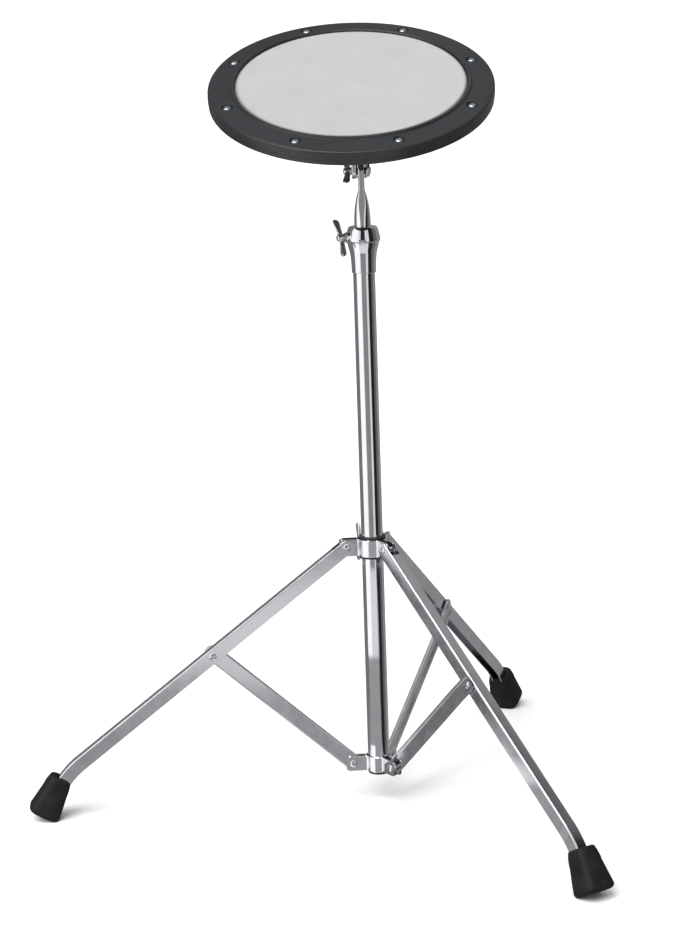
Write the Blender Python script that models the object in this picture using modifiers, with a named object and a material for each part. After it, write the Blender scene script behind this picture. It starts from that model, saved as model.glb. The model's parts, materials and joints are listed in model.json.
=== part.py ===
"""Drum practice pad on a folding tripod stand, modelled as an assembly of separate pieces.

Frame: metres, +Z up, floor at z = 0, the player's side is -Y. The tilter's bolt runs along X.
Lengths are driving dimensions at the top; everything else is worked out from them.
"""
from math import acos, asin, atan2, cos, pi, radians, sin, sqrt, tan

import bmesh
import bpy
from mathutils import Vector

MM = 0.001
GAP = 0.3 * MM                      # clearance between pieces that touch

# Column
TUBE_RADIUS = 12.7 * MM             # outer radius of the lower tube
TUBE_WALL = 1.2 * MM
MAST_RADIUS = 9.525 * MM            # outer radius of the upper tube
MAST_WALL = 1.2 * MM
TUBE_LENGTH = 633.5 * MM
BASE_PIVOT_ABOVE_TUBE_END = 10.8 * MM
PLUG_LENGTH = 14.0 * MM
PLUG_FLANGE = 2.0 * MM

# Height clamp
COLLAR_LENGTH = 53.0 * MM
COLLAR_ABOVE_TUBE = 18.0 * MM       # how far the collar stands above the lower tube
COLLAR_LIP = 3.7 * MM
COLLAR_RADIUS = TUBE_RADIUS + 7.2 * MM
COLLAR_SLEEVE_WALL = 1.0 * MM
COLLAR_STEP_DROP = 17.0 * MM        # from the collar's top to the step under its crown
HEIGHT_SCREW_DROP = 11.4 * MM       # clamp screw axis below the collar's top
HEIGHT_SCREW_AZIMUTH = radians(205.0)
HEIGHT_WING_TURN = radians(28.0)    # wings' turn about the screw
BUSHING_LENGTH = 45.0 * MM

# Upper tube and tilter
HEIGHT_TRAVEL = 300.0 * MM
MAST_IN_TUBE = 400.0 * MM           # length of upper tube below the collar's top
MAST_NECK_START = 2.0 * MM          # above the collar's top, where the round tube starts to flatten
MAST_NECK_LENGTH = 39.0 * MM
NECK_CURVE = 2.3                    # how late along its length the neck narrows
MAST_BORE_STOP = 2.0 * MM           # the bore ends this far below the neck
FLAT_THICKNESS = 7.4 * MM
FLAT_WIDTH = 24.0 * MM
HINGE_ABOVE_COLLAR = 63.0 * MM
GUIDE_LENGTH = 10.0 * MM
BOLT_RADIUS = 4.0 * MM
WASHER_THICKNESS = 1.5 * MM
WASHER_RADIUS = 8.6 * MM
NUT_THICKNESS = 4.0 * MM
NUT_RADIUS = 8.0 * MM
EYE_RADIUS = 9.0 * MM
EYE_THICKNESS = 4.6 * MM
STEM_RADIUS = 4.0 * MM
STEM_THREAD_RADIUS = 3.8 * MM
STEM_THREAD_BELOW_PAD = 40.0 * MM
TILTER_WING_TURN = radians(60.0)

# Pad
PAD_TILT = radians(23.0)
PAD_ABOVE_HINGE = 112.0 * MM        # hinge axis to the playing surface
PAD_DEPTH = 18.7 * MM               # playing surface to the rim's lower edge
HEAD_RADIUS = 127.0 * MM            # bearing edge, a ten inch head
PAD_RADIUS = HEAD_RADIUS + 33.0 * MM
RIM_WALL = 3.0 * MM
RIM_PLATE = 5.6 * MM
RIM_LIP_DEPTH = 9.0 * MM
RIM_SHOULDER = 2.6 * MM             # rounding of the rim's outer edge
RIM_INNER_DROP = 0.6 * MM           # the rim's top face below the playing surface, at the ridge
RIM_OUTER_DROP = 3.0 * MM           # and at the rim's outer edge
RIDGE_RADIUS = HEAD_RADIUS + 7.6 * MM
RIDGE_WIDTH = 4.0 * MM
RIDGE_HEIGHT = 1.4 * MM
HEAD_COLLAR = 2.4 * MM              # how far the film stands out over the bearing edge
FILM = 0.8 * MM
FILM_DEPTH = 12.5 * MM
HOOP_WIDTH = 4.2 * MM
HOOP_DEPTH = 4.2 * MM
BASE_THICKNESS = 4.4 * MM
BEARING_WIDTH = 4.0 * MM
BEARING_CHAMFER = 2.4 * MM
BASE_RECESS = 0.5 * MM              # base plate above the rim's lower edge
SCREW_COUNT = 8
SCREW_CIRCLE = HEAD_RADIUS + 18.1 * MM
SCREW_PHASE = radians(-70.0)
SCREW_HEAD_RADIUS = 4.7 * MM
SCREW_HEAD_HEIGHT = 2.6 * MM
SCREW_RADIUS = 2.4 * MM
SCREW_LENGTH = 12.5 * MM
SLOT_LENGTH = 4.8 * MM              # cross recess
SLOT_WIDTH = 1.0 * MM
SLOT_DEPTH = 1.1 * MM
SCREW_BOSS_RADIUS = 6.0 * MM
RECESS_RADIUS = 6.2 * MM
RECESS_DEPTH = 2.2 * MM
HUB_RADIUS = 15.0 * MM
HUB_HEIGHT = 6.0 * MM               # hub above the base plate, inside the foam
INSERT_RADIUS = 6.5 * MM
INSERT_FLANGE_RADIUS = 10.0 * MM
INSERT_FLANGE = 1.4 * MM
RUBBER_INNER = HEAD_RADIUS - 47.0 * MM
RUBBER_OUTER = HEAD_RADIUS - 15.0 * MM
RUBBER_THICKNESS = 2.2 * MM
LOCK_NUT_RADIUS = 7.5 * MM
LOCK_NUT_HEIGHT = 6.5 * MM

# Tripod
LEG_AZIMUTHS = {"left": radians(184.4), "front": radians(304.4), "back": radians(64.4)}
PIVOT_RADIUS = TUBE_RADIUS + 17.8 * MM   # leg and strut pivots from the column's axis
BRACKET_SPACING = 265.7 * MM        # leg pivots above the strut pivots, legs spread
KNEE_ON_LEG = 204.4 * MM            # leg pivot to knee rivet
STRUT_LENGTH = 215.6 * MM           # strut pivot to knee rivet
LEG_STRAIGHT = 429.2 * MM           # leg pivot to the corner of the bend
FOOT_LEAN = radians(28.0)           # bent end of the leg, from vertical
BEND_RADIUS = 100.0 * MM
LEG_END = 34.0 * MM                 # from the bend's corner to the leg's end
LEG_WIDTH = 14.0 * MM
LEG_HEIGHT = 16.5 * MM
LEG_SHEET = 1.5 * MM
LEG_CORNER = 2.2 * MM
WEB_CUT_BACK = 15.0 * MM
STRUT_WIDTH = 19.0 * MM
STRUT_DEPTH = 4.2 * MM
STRUT_SHEET = 1.6 * MM
KNEE_CLEARANCE = 0.8 * MM
JOGGLE_START = 14.0 * MM            # from the strut's pivot, clear of the bracket's ears
JOGGLE_END = 34.0 * MM
ROUNDING_SLACK = 0.02 * MM          # the rounded ends' radius over half the width
RIVET_RADIUS = 2.9 * MM
RIVET_HEAD_RADIUS = 4.3 * MM
RIVET_HEAD_HEIGHT = 1.4 * MM
PLATE_SHEET = 2.0 * MM
PLATE_BEND = 4.0 * MM
EAR_LENGTH = 8.6 * MM               # beyond the pivot
BASE_PLATE_HEIGHT = 18.0 * MM
SLIDE_PLATE_HEIGHT = 20.5 * MM
LINER_WALL = 2.2 * MM
LINER_PROUD = 2.6 * MM              # liner beyond the plates, above and below
SLIDE_PLATE_DROP = 1.0 * MM         # middle of the plates below the leg pivots
SLIDE_BOSS_LENGTH = 6.0 * MM
SLIDE_BOSS_RADIUS = 6.0 * MM

# Rubber feet
BOOT_MOUTH = 6.5 * MM               # past the bend's corner
BOOT_SHIFT = 4.0 * MM               # boot axis outwards of the leg's middle line
BOOT_TOP_RADIUS = LEG_HEIGHT / 2 + 4.95 * MM
BOOT_BOTTOM_RADIUS = BOOT_TOP_RADIUS + 6.4 * MM
BOOT_LENGTH = 50.0 * MM
BOOT_ROUNDING = 4.0 * MM
BOOT_TREAD_CUT = 1.2 * MM           # flat worn on the tread where the foot stands
BOOT_CROWN = 1.5 * MM               # how far the underside bulges

# Wing screws
WING_SPAN = 23.0 * MM
WING_THICKNESS = 3.0 * MM
WING_TIP_RADIUS = 4.8 * MM
WING_ROOT = 1.5 * MM                # wing's inner end, from the screw's axis
WING_HUB_RADIUS = 4.8 * MM
WING_HUB_LENGTH = 9.0 * MM
WING_SCREW_RADIUS = 3.9 * MM
HEIGHT_BOSS_RADIUS = 6.0 * MM
HEIGHT_BOSS_PROUD = 2.4 * MM        # boss beyond the collar

SEGMENTS = 24                       # round a tube
HOLE_SEGMENTS = 12                  # round a hole, a screw or a rivet
RIM_SEGMENTS = 48                   # round the pad
OVERSHOOT = 2.0 * MM                # how far a cutter runs past what it cuts
MERGE = 0.00001

# Heights above the strut pivots, from the dimensions above
TUBE_BOTTOM = -BASE_PIVOT_ABOVE_TUBE_END
TUBE_TOP = TUBE_BOTTOM + TUBE_LENGTH
COLLAR_TOP = TUBE_TOP + COLLAR_ABOVE_TUBE
COLLAR_BOTTOM = COLLAR_TOP - COLLAR_LENGTH
HINGE_HEIGHT = COLLAR_TOP + HINGE_ABOVE_COLLAR
MAST_BOTTOM = COLLAR_TOP - MAST_IN_TUBE
HEIGHT_SCREW_HEIGHT = COLLAR_TOP - HEIGHT_SCREW_DROP

# The leg, strut and column form a triangle, which sets how far the legs spread
LEG_LEAN = acos((BRACKET_SPACING ** 2 + KNEE_ON_LEG ** 2 - STRUT_LENGTH ** 2)
                / (2 * BRACKET_SPACING * KNEE_ON_LEG))
STRUT_LEAN = asin(KNEE_ON_LEG * sin(LEG_LEAN) / STRUT_LENGTH)
BEND_ANGLE = LEG_LEAN - FOOT_LEAN
BEND_TANGENT = BEND_RADIUS * tan(BEND_ANGLE / 2)

# Heights and radii in the pad, from the playing surface
FILM_RADIUS = HEAD_RADIUS + HEAD_COLLAR
RIM_BORE = FILM_RADIUS + GAP
RIM_FALL = (RIM_OUTER_DROP - RIM_INNER_DROP) / (PAD_RADIUS - RIDGE_RADIUS)
SCREW_SEAT = -RIM_INNER_DROP - RIM_FALL * (SCREW_CIRCLE - RIDGE_RADIUS)
RECESS_FLOOR = SCREW_SEAT - RECESS_DEPTH
RIM_UNDERSIDE = SCREW_SEAT - RIM_PLATE
BASE_BOTTOM = BASE_RECESS - PAD_DEPTH
BASE_TOP = BASE_BOTTOM + BASE_THICKNESS

# Bracket ears lie inside the leg's channel
EAR_OUTSIDE = LEG_WIDTH / 2 - LEG_SHEET - GAP
EAR_OFFSET = EAR_OUTSIDE - PLATE_SHEET / 2

# Tilter stack along the bolt, from the flat of the upper tube outwards
WASHER_START = FLAT_THICKNESS / 2 + GAP
EYE_START = WASHER_START + WASHER_THICKNESS + GAP
STEM_OFFSET = EYE_START + EYE_THICKNESS / 2
HUB_START = EYE_START + EYE_THICKNESS + GAP
NUT_START = WASHER_START + WASHER_THICKNESS + GAP

MATERIALS = {
    "chrome": ((0.72, 0.73, 0.74), 0.12, 1.0),
    "zinc_steel": ((0.62, 0.63, 0.65), 0.3, 1.0),
    "dark_steel": ((0.2, 0.2, 0.21), 0.4, 1.0),
    "rim_plastic": ((0.055, 0.058, 0.062), 0.45, 0.0),
    "black_plastic": ((0.02, 0.02, 0.021), 0.5, 0.0),
    "rubber": ((0.018, 0.018, 0.019), 0.75, 0.0),
    "film": ((0.62, 0.62, 0.63), 0.6, 0.0),
    "foam": ((0.12, 0.12, 0.13), 0.9, 0.0),
    "nylon": ((0.75, 0.74, 0.7), 0.5, 0.0),
    "brass": ((0.7, 0.55, 0.25), 0.3, 1.0),
}


def clear_scene():
    for obj in list(bpy.data.objects):
        bpy.data.objects.remove(obj, do_unlink=True)


def make_collection(name):
    collection = bpy.data.collections.new(name)
    bpy.context.scene.collection.children.link(collection)
    return collection


def make_materials():
    for name, (colour, roughness, metallic) in MATERIALS.items():
        material = bpy.data.materials.new(name)
        material.use_nodes = True
        shader = material.node_tree.nodes["Principled BSDF"]
        shader.inputs["Base Color"].default_value = (*colour, 1.0)
        shader.inputs["Roughness"].default_value = roughness
        shader.inputs["Metallic"].default_value = metallic
        material.diffuse_color = (*colour, 1.0)


def empty(name, parent=None, location=(0, 0, 0), rotation=(0, 0, 0)):
    """An empty that carries other objects; its rotation is an XYZ Euler."""
    obj = bpy.data.objects.new(name, None)
    obj.empty_display_size = 10 * MM
    PARTS.objects.link(obj)
    obj.parent = parent
    obj.location = location
    obj.rotation_euler = rotation
    return obj


def place(obj, parent, location, rotation, material):
    obj.parent = parent
    obj.location = location
    obj.rotation_euler = rotation
    if material:
        obj.data.materials.append(bpy.data.materials[material])
        PARTS.objects.link(obj)
    else:
        obj.hide_render = True
        obj.display_type = "WIRE"
        CUTTERS.objects.link(obj)
    return obj


def smooth(mesh, angle=radians(35)):
    mesh.shade_smooth()
    mesh.set_sharp_from_angle(angle=angle)


def turned(name, profile, parent, material=None, location=(0, 0, 0), rotation=(0, 0, 0),
           segments=SEGMENTS, closed=True):
    """Turn a profile of (radius, height) about Z. Outer side runs from top to bottom.
    A closed profile makes a ring; an open one starts and ends on the axis."""
    mesh = bpy.data.meshes.new(name)
    count = len(profile)
    edges = [(i, i + 1) for i in range(count - 1)]
    if closed:
        edges.append((count - 1, 0))
    mesh.from_pydata([(radius, 0, height) for radius, height in profile], edges, [])
    obj = bpy.data.objects.new(name, mesh)
    screw = obj.modifiers.new("turn", "SCREW")
    screw.axis = "Z"
    screw.angle = 2 * pi
    screw.steps = segments
    screw.render_steps = segments
    screw.use_merge_vertices = True
    screw.merge_threshold = MERGE
    place(obj, parent, location, rotation, material)
    return bake(obj)


def bake(obj):
    """Replace an object's mesh with its evaluated one, so that it can be cut or joined."""
    bpy.context.view_layer.update()
    evaluated = obj.evaluated_get(bpy.context.evaluated_depsgraph_get())
    mesh = bpy.data.meshes.new_from_object(evaluated)
    mesh.name = obj.name
    old = obj.data
    obj.modifiers.clear()
    obj.data = mesh
    bpy.data.meshes.remove(old)
    smooth(mesh)
    return obj


def rod(name, radius, start, end, parent, material=None, rotation=(0, 0, 0), location=(0, 0, 0),
        segments=SEGMENTS):
    """A solid cylinder along local Z from start to end."""
    mesh = bpy.data.meshes.new(name)
    shape = bmesh.new()
    bmesh.ops.create_cone(shape, cap_ends=True, segments=segments, radius1=radius, radius2=radius,
                          depth=end - start)
    bmesh.ops.translate(shape, vec=(0, 0, (start + end) / 2), verts=shape.verts)
    shape.to_mesh(mesh)
    shape.free()
    smooth(mesh)
    obj = bpy.data.objects.new(name, mesh)
    return place(obj, parent, location, rotation, material)


def box(name, low, high, parent, material=None, location=(0, 0, 0), rotation=(0, 0, 0)):
    mesh = bpy.data.meshes.new(name)
    shape = bmesh.new()
    bmesh.ops.create_cube(shape, size=1.0)
    size = [b - a for a, b in zip(low, high)]
    centre = [(a + b) / 2 for a, b in zip(low, high)]
    bmesh.ops.scale(shape, vec=size, verts=shape.verts)
    bmesh.ops.translate(shape, vec=centre, verts=shape.verts)
    shape.to_mesh(mesh)
    shape.free()
    obj = bpy.data.objects.new(name, mesh)
    return place(obj, parent, location, rotation, material)


def slab(name, outline, thickness, parent, material=None, location=(0, 0, 0), rotation=(0, 0, 0)):
    """A flat outline in local XY, extruded half its thickness to each side."""
    curve = bpy.data.curves.new(name, "CURVE")
    curve.dimensions = "2D"
    curve.fill_mode = "BOTH"
    curve.extrude = thickness / 2
    spline = curve.splines.new("POLY")
    spline.points.add(len(outline) - 1)
    for point, (x, y) in zip(spline.points, outline):
        point.co = (x, y, 0, 1)
    spline.use_cyclic_u = True
    source = bpy.data.objects.new(name + "_outline", curve)
    CUTTERS.objects.link(source)
    bpy.context.view_layer.update()
    evaluated = source.evaluated_get(bpy.context.evaluated_depsgraph_get())
    mesh = bpy.data.meshes.new_from_object(evaluated)
    mesh.name = name
    mesh.materials.clear()
    shape = bmesh.new()
    shape.from_mesh(mesh)
    bmesh.ops.remove_doubles(shape, verts=shape.verts, dist=MERGE)
    bmesh.ops.recalc_face_normals(shape, faces=shape.faces)
    shape.to_mesh(mesh)
    shape.free()
    bpy.data.objects.remove(source)
    smooth(mesh)
    obj = bpy.data.objects.new(name, mesh)
    return place(obj, parent, location, rotation, material)


def combine(obj, tool, operation):
    modifier = obj.modifiers.new(operation.lower(), "BOOLEAN")
    modifier.operation = operation
    modifier.object = tool
    modifier.solver = "EXACT"


def cut(obj, *tools):
    for tool in tools:
        combine(obj, tool, "DIFFERENCE")


def fuse(obj, *tools):
    for tool in tools:
        combine(obj, tool, "UNION")


def arc(centre, radius, start, end, steps):
    """Points of an arc in a plane, both ends included; angles in radians."""
    return [(centre[0] + radius * cos(start + (end - start) * i / steps),
             centre[1] + radius * sin(start + (end - start) * i / steps)) for i in range(steps + 1)]


# Column and height clamp -------------------------------------------------------------------------

def make_lower_tube(root):
    inner = TUBE_RADIUS - TUBE_WALL
    turned("lower_tube", [(TUBE_RADIUS, TUBE_TOP), (TUBE_RADIUS, TUBE_BOTTOM),
                          (inner, TUBE_BOTTOM), (inner, TUBE_TOP)], root, "chrome")


def make_end_plug(root):
    body = TUBE_RADIUS - TUBE_WALL - GAP
    turned("tube_end_plug", [(0, TUBE_BOTTOM + PLUG_LENGTH), (body, TUBE_BOTTOM + PLUG_LENGTH),
                             (body, TUBE_BOTTOM - GAP), (TUBE_RADIUS, TUBE_BOTTOM - GAP),
                             (TUBE_RADIUS, TUBE_BOTTOM - GAP - PLUG_FLANGE),
                             (0, TUBE_BOTTOM - GAP - PLUG_FLANGE)], root, "black_plastic", closed=False)


def make_height_clamp(root, screw_frame):
    """Cast collar over the tube's end, with the nylon bushing inside and a boss for the screw."""
    sleeve = TUBE_RADIUS + GAP
    outer = sleeve + COLLAR_SLEEVE_WALL
    seat = sleeve + 0.6 * MM
    lip = MAST_RADIUS + 2 * GAP
    waist = COLLAR_TOP - COLLAR_STEP_DROP
    profile = [(lip, COLLAR_TOP), (COLLAR_RADIUS - 5.4 * MM, COLLAR_TOP),
               (COLLAR_RADIUS - 3.6 * MM, COLLAR_TOP - 0.8 * MM),
               (COLLAR_RADIUS - 2.4 * MM, COLLAR_TOP - 3.0 * MM),
               (COLLAR_RADIUS - 0.8 * MM, COLLAR_TOP - 9.5 * MM),
               (COLLAR_RADIUS, COLLAR_TOP - 14.0 * MM), (COLLAR_RADIUS, waist + 0.6 * MM),
               (COLLAR_RADIUS - 1.4 * MM, waist - 0.6 * MM),
               (outer + 2.6 * MM, waist - 9.0 * MM), (outer + 1.2 * MM, waist - 15.0 * MM),
               (outer + 0.4 * MM, waist - 22.0 * MM), (outer, COLLAR_BOTTOM),
               (sleeve, COLLAR_BOTTOM), (sleeve, TUBE_TOP), (seat, TUBE_TOP),
               (seat, COLLAR_TOP - COLLAR_LIP), (lip, COLLAR_TOP - COLLAR_LIP)]
    collar = turned("height_collar", profile, root, "chrome")
    boss = rod("height_boss", HEIGHT_BOSS_RADIUS, seat + MM, COLLAR_RADIUS + HEIGHT_BOSS_PROUD,
               screw_frame, rotation=(0, pi / 2, 0))
    hole = rod("height_screw_hole", WING_SCREW_RADIUS + GAP, 0, COLLAR_RADIUS + 2 * OVERSHOOT,
               screw_frame, rotation=(0, pi / 2, 0), segments=HOLE_SEGMENTS)
    fuse(collar, boss)
    cut(collar, hole)

    bore = MAST_RADIUS + GAP
    liner = TUBE_RADIUS - TUBE_WALL - GAP
    shoulder = seat - GAP
    top = COLLAR_TOP - COLLAR_LIP - GAP
    bushing = turned("height_bushing", [(bore, top), (shoulder, top), (shoulder, TUBE_TOP + GAP),
                                        (liner, TUBE_TOP + GAP), (liner, top - BUSHING_LENGTH),
                                        (bore, top - BUSHING_LENGTH)], root, "nylon")
    cut(bushing, hole)


def wing_screw(name, frame, material, tip, hub, turn):
    """A wing screw along the frame's +X, from its tip to its hub, with two flat wings."""
    axis = (0, pi / 2, 0)
    screw = rod(name, WING_SCREW_RADIUS, tip, hub + MM, frame, material, rotation=axis,
                segments=HOLE_SEGMENTS)
    barrel = rod(name + "_hub", WING_HUB_RADIUS, hub, hub + WING_HUB_LENGTH, frame, rotation=axis,
                 segments=HOLE_SEGMENTS)
    fuse(screw, barrel)
    for side in (1, -1):
        wing = slab(f"{name}_wing{side}", wing_outline(side), WING_THICKNESS, frame,
                    location=(hub, 0, 0), rotation=(turn + pi / 2, 0, 0))
        fuse(screw, wing)
    return screw


def wing_outline(side):
    """One wing in the plane of the screw's axis (x) and the wing's length (y)."""
    root_low = 1.5 * MM
    root_high = WING_HUB_LENGTH - 0.5 * MM
    neck = 4 * WING_ROOT
    centre = (root_high - 0.5 * MM, WING_SPAN - WING_TIP_RADIUS)
    points = [(root_low, WING_ROOT), (root_high, WING_ROOT), (root_high + 1.5 * MM, neck)]
    points += arc(centre, WING_TIP_RADIUS, 0, pi, 5)
    points += [(root_low + MM, neck)]
    return [(x, side * y) for x, y in (points if side > 0 else points[::-1])]


# Upper tube and tilter ---------------------------------------------------------------------------

def flat_section(blend, height, width):
    """A ring of points between a circle (blend 0) and the pressed flat (blend 1)."""
    ring = []
    half_x = MAST_RADIUS + (FLAT_THICKNESS / 2 - MAST_RADIUS) * blend
    half_y = MAST_RADIUS + (width - MAST_RADIUS) * blend
    power = 1 + blend * 1.6
    for i in range(SEGMENTS):
        angle = 2 * pi * (i + 0.5) / SEGMENTS
        x = abs(cos(angle)) ** (1 / power) * (1 if cos(angle) > 0 else -1)
        y = abs(sin(angle)) ** (1 / power) * (1 if sin(angle) > 0 else -1)
        ring.append((half_x * x, half_y * y, height))
    return ring


def make_upper_tube(frame):
    """Round tube whose upper end is pressed flat, rounded and drilled for the tilter's bolt."""
    neck = COLLAR_TOP + MAST_NECK_START
    steps = 6
    rings = [flat_section(0, MAST_BOTTOM, 0), flat_section(0, neck, 0)]
    for i in range(1, steps + 1):
        share = i / steps
        blend = share ** NECK_CURVE
        rings.append(flat_section(blend, neck + MAST_NECK_LENGTH * share, FLAT_WIDTH / 2))
    rounding = 6
    for i in range(rounding):
        angle = pi / 2 * i / rounding
        rings.append(flat_section(1, HINGE_HEIGHT + FLAT_WIDTH / 2 * sin(angle),
                                  FLAT_WIDTH / 2 * cos(angle)))
    bore = MAST_RADIUS - MAST_WALL
    inner = [[(x * bore / MAST_RADIUS, y * bore / MAST_RADIUS, z) for x, y, z in ring]
             for ring in (rings[0], flat_section(0, neck - MAST_BORE_STOP, 0))]
    rings = inner[::-1] + rings
    mesh = bpy.data.meshes.new("upper_tube")
    shape = bmesh.new()
    loops = [[shape.verts.new(co) for co in ring] for ring in rings]
    for low, high in zip(loops, loops[1:]):
        for i in range(SEGMENTS):
            j = (i + 1) % SEGMENTS
            shape.faces.new((low[i], low[j], high[j], high[i]))
    shape.faces.new(loops[0])
    shape.faces.new(loops[-1])
    bmesh.ops.recalc_face_normals(shape, faces=shape.faces)
    shape.to_mesh(mesh)
    shape.free()
    smooth(mesh)
    tube = place(bpy.data.objects.new("upper_tube", mesh), frame, (0, 0, 0), (0, 0, 0), "chrome")
    hole = rod("tilter_hole", BOLT_RADIUS + GAP, -FLAT_WIDTH, FLAT_WIDTH, frame,
               location=(0, 0, HINGE_HEIGHT), rotation=(0, pi / 2, 0), segments=HOLE_SEGMENTS)
    cut(tube, hole)


def make_mast_guide(root):
    """Nylon bush on the upper tube's lower end; it slides and the tube turns on it."""
    plug = MAST_RADIUS - MAST_WALL - GAP
    flange = TUBE_RADIUS - TUBE_WALL - GAP
    turned("mast_guide", [(0, MAST_BOTTOM + GUIDE_LENGTH), (plug, MAST_BOTTOM + GUIDE_LENGTH),
                          (plug, MAST_BOTTOM - GAP), (flange, MAST_BOTTOM - GAP),
                          (flange, MAST_BOTTOM - GAP - GUIDE_LENGTH),
                          (0, MAST_BOTTOM - GAP - GUIDE_LENGTH)], root, "nylon", closed=False)


def washer(name, bore, radius, thickness, start, frame, material, rotation=(0, 0, 0)):
    end = start + thickness
    return turned(name, [(radius, end), (radius, start), (bore, start), (bore, end)], frame, material,
                  rotation=rotation, segments=HOLE_SEGMENTS)


def make_tilter(hinge):
    """Bolt, washers and nut that clamp the stem's eye to the flat of the upper tube."""
    bore = BOLT_RADIUS + GAP
    left = (0, -pi / 2, 0)
    right = (0, pi / 2, 0)
    washer("tilter_washer_left", bore, WASHER_RADIUS, WASHER_THICKNESS, WASHER_START, hinge,
           "black_plastic", left)
    washer("tilter_washer_right", bore, WASHER_RADIUS, WASHER_THICKNESS, WASHER_START, hinge,
           "black_plastic", right)
    end = NUT_START + NUT_THICKNESS
    turned("tilter_nut", [(NUT_RADIUS - MM, end), (NUT_RADIUS, end - 1.5 * MM),
                          (NUT_RADIUS, NUT_START), (bore, NUT_START), (bore, end)], hinge, "chrome",
           rotation=right, segments=HOLE_SEGMENTS)


def make_tilter_bolt(hinge):
    frame = empty("tilter_bolt_frame", hinge, rotation=(0, 0, pi))
    wing_screw("tilter_wing_bolt", frame, "dark_steel", -(NUT_START + NUT_THICKNESS), HUB_START,
               TILTER_WING_TURN)


def make_stem(pad):
    """Stem: a drilled eye beside the flat, a flattened neck and a rod threaded at its top."""
    top = PAD_ABOVE_HINGE - PAD_DEPTH + BASE_THICKNESS + HUB_HEIGHT - 2 * MM
    thread_start = PAD_ABOVE_HINGE - PAD_DEPTH - STEM_THREAD_BELOW_PAD
    neck_end = EYE_RADIUS + 9 * MM
    rod_start = EYE_RADIUS + 3 * MM
    stem = turned("tilter_stem", [(0, top), (STEM_THREAD_RADIUS - 0.5 * MM, top),
                                  (STEM_THREAD_RADIUS, top - MM), (STEM_THREAD_RADIUS, thread_start),
                                  (STEM_RADIUS, thread_start), (STEM_RADIUS, rod_start),
                                  (0, rod_start)], pad, "chrome", location=(-STEM_OFFSET, 0, 0),
                  segments=20, closed=False)
    eye = rod("stem_eye", EYE_RADIUS, EYE_START, EYE_START + EYE_THICKNESS, pad,
              rotation=(0, -pi / 2, 0))
    neck = box("stem_neck", (-EYE_START - EYE_THICKNESS, -STEM_RADIUS - MM, 0),
               (-EYE_START, STEM_RADIUS + MM, neck_end), pad)
    hole = rod("stem_hole", BOLT_RADIUS + GAP, 0, 2 * HUB_START, pad, rotation=(0, -pi / 2, 0),
               segments=HOLE_SEGMENTS)
    fuse(stem, eye, neck)
    cut(stem, hole)


# Pad ---------------------------------------------------------------------------------------------

def screw_places():
    for i in range(SCREW_COUNT):
        angle = SCREW_PHASE + 2 * pi * i / SCREW_COUNT
        yield i + 1, (SCREW_CIRCLE * cos(angle), SCREW_CIRCLE * sin(angle), 0), angle


def rim_top(radius):
    """Height of the rim's top face, which falls slightly towards its outer edge."""
    return -RIM_INNER_DROP - RIM_FALL * (radius - RIDGE_RADIUS)


def make_rim(head):
    """Counter-hoop: a moulded ring whose lip presses the flesh hoop down."""
    inner = PAD_RADIUS - RIM_WALL
    ridge_inner = RIDGE_RADIUS - RIDGE_WIDTH
    lip_outer = RIM_BORE + HOOP_WIDTH
    profile = [(ridge_inner, RIDGE_HEIGHT), (RIDGE_RADIUS - 0.8 * MM, RIDGE_HEIGHT),
               (RIDGE_RADIUS, rim_top(RIDGE_RADIUS)),
               (PAD_RADIUS - RIM_SHOULDER, rim_top(PAD_RADIUS - RIM_SHOULDER)),
               (PAD_RADIUS - 0.8 * MM, rim_top(PAD_RADIUS) - MM),
               (PAD_RADIUS, rim_top(PAD_RADIUS) - 2.8 * MM),
               (PAD_RADIUS, -PAD_DEPTH), (inner, -PAD_DEPTH), (inner, RIM_UNDERSIDE),
               (lip_outer, RIM_UNDERSIDE),
               (lip_outer, -RIM_LIP_DEPTH), (RIM_BORE, -RIM_LIP_DEPTH), (RIM_BORE, 0)]
    rim = turned("pad_rim", profile, head, "rim_plastic", segments=RIM_SEGMENTS)
    for number, spot, _ in screw_places():
        recess = rod(f"recess_{number}", RECESS_RADIUS, RECESS_FLOOR, RIDGE_HEIGHT, head,
                     location=spot, segments=HOLE_SEGMENTS)
        hole = rod(f"rim_hole_{number}", SCREW_RADIUS + GAP, -PAD_DEPTH, RIDGE_HEIGHT, head,
                   location=spot, segments=HOLE_SEGMENTS)
        cut(rim, recess, hole)


def make_head(head):
    """Plastic film pulled over the bearing edge, with the flesh hoop that holds it."""
    inside = FILM_RADIUS - FILM
    film = [(0, 0), (HEAD_RADIUS, 0)]
    film += [(HEAD_RADIUS + HEAD_COLLAR * sin(a), HEAD_COLLAR * (cos(a) - 1))
             for a in (pi / 6, pi / 3, pi / 2)]
    film += [(FILM_RADIUS, -FILM_DEPTH), (inside, -FILM_DEPTH), (inside, -HEAD_COLLAR)]
    film += [(HEAD_RADIUS + (HEAD_COLLAR - FILM) * sin(a),
              -FILM - (HEAD_COLLAR - FILM) * (1 - cos(a))) for a in (pi / 3, pi / 6)]
    film += [(HEAD_RADIUS, -FILM), (0, -FILM)]
    turned("drumhead", film, head, "film", segments=RIM_SEGMENTS, closed=False)
    top = -RIM_LIP_DEPTH - GAP
    inner = FILM_RADIUS + GAP
    outer = inner + HOOP_WIDTH - GAP
    turned("flesh_hoop", [(outer, top), (outer, top - HOOP_DEPTH + GAP), (inner, top - HOOP_DEPTH + GAP),
                          (inner, top)], head, "zinc_steel", segments=RIM_SEGMENTS)


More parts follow.
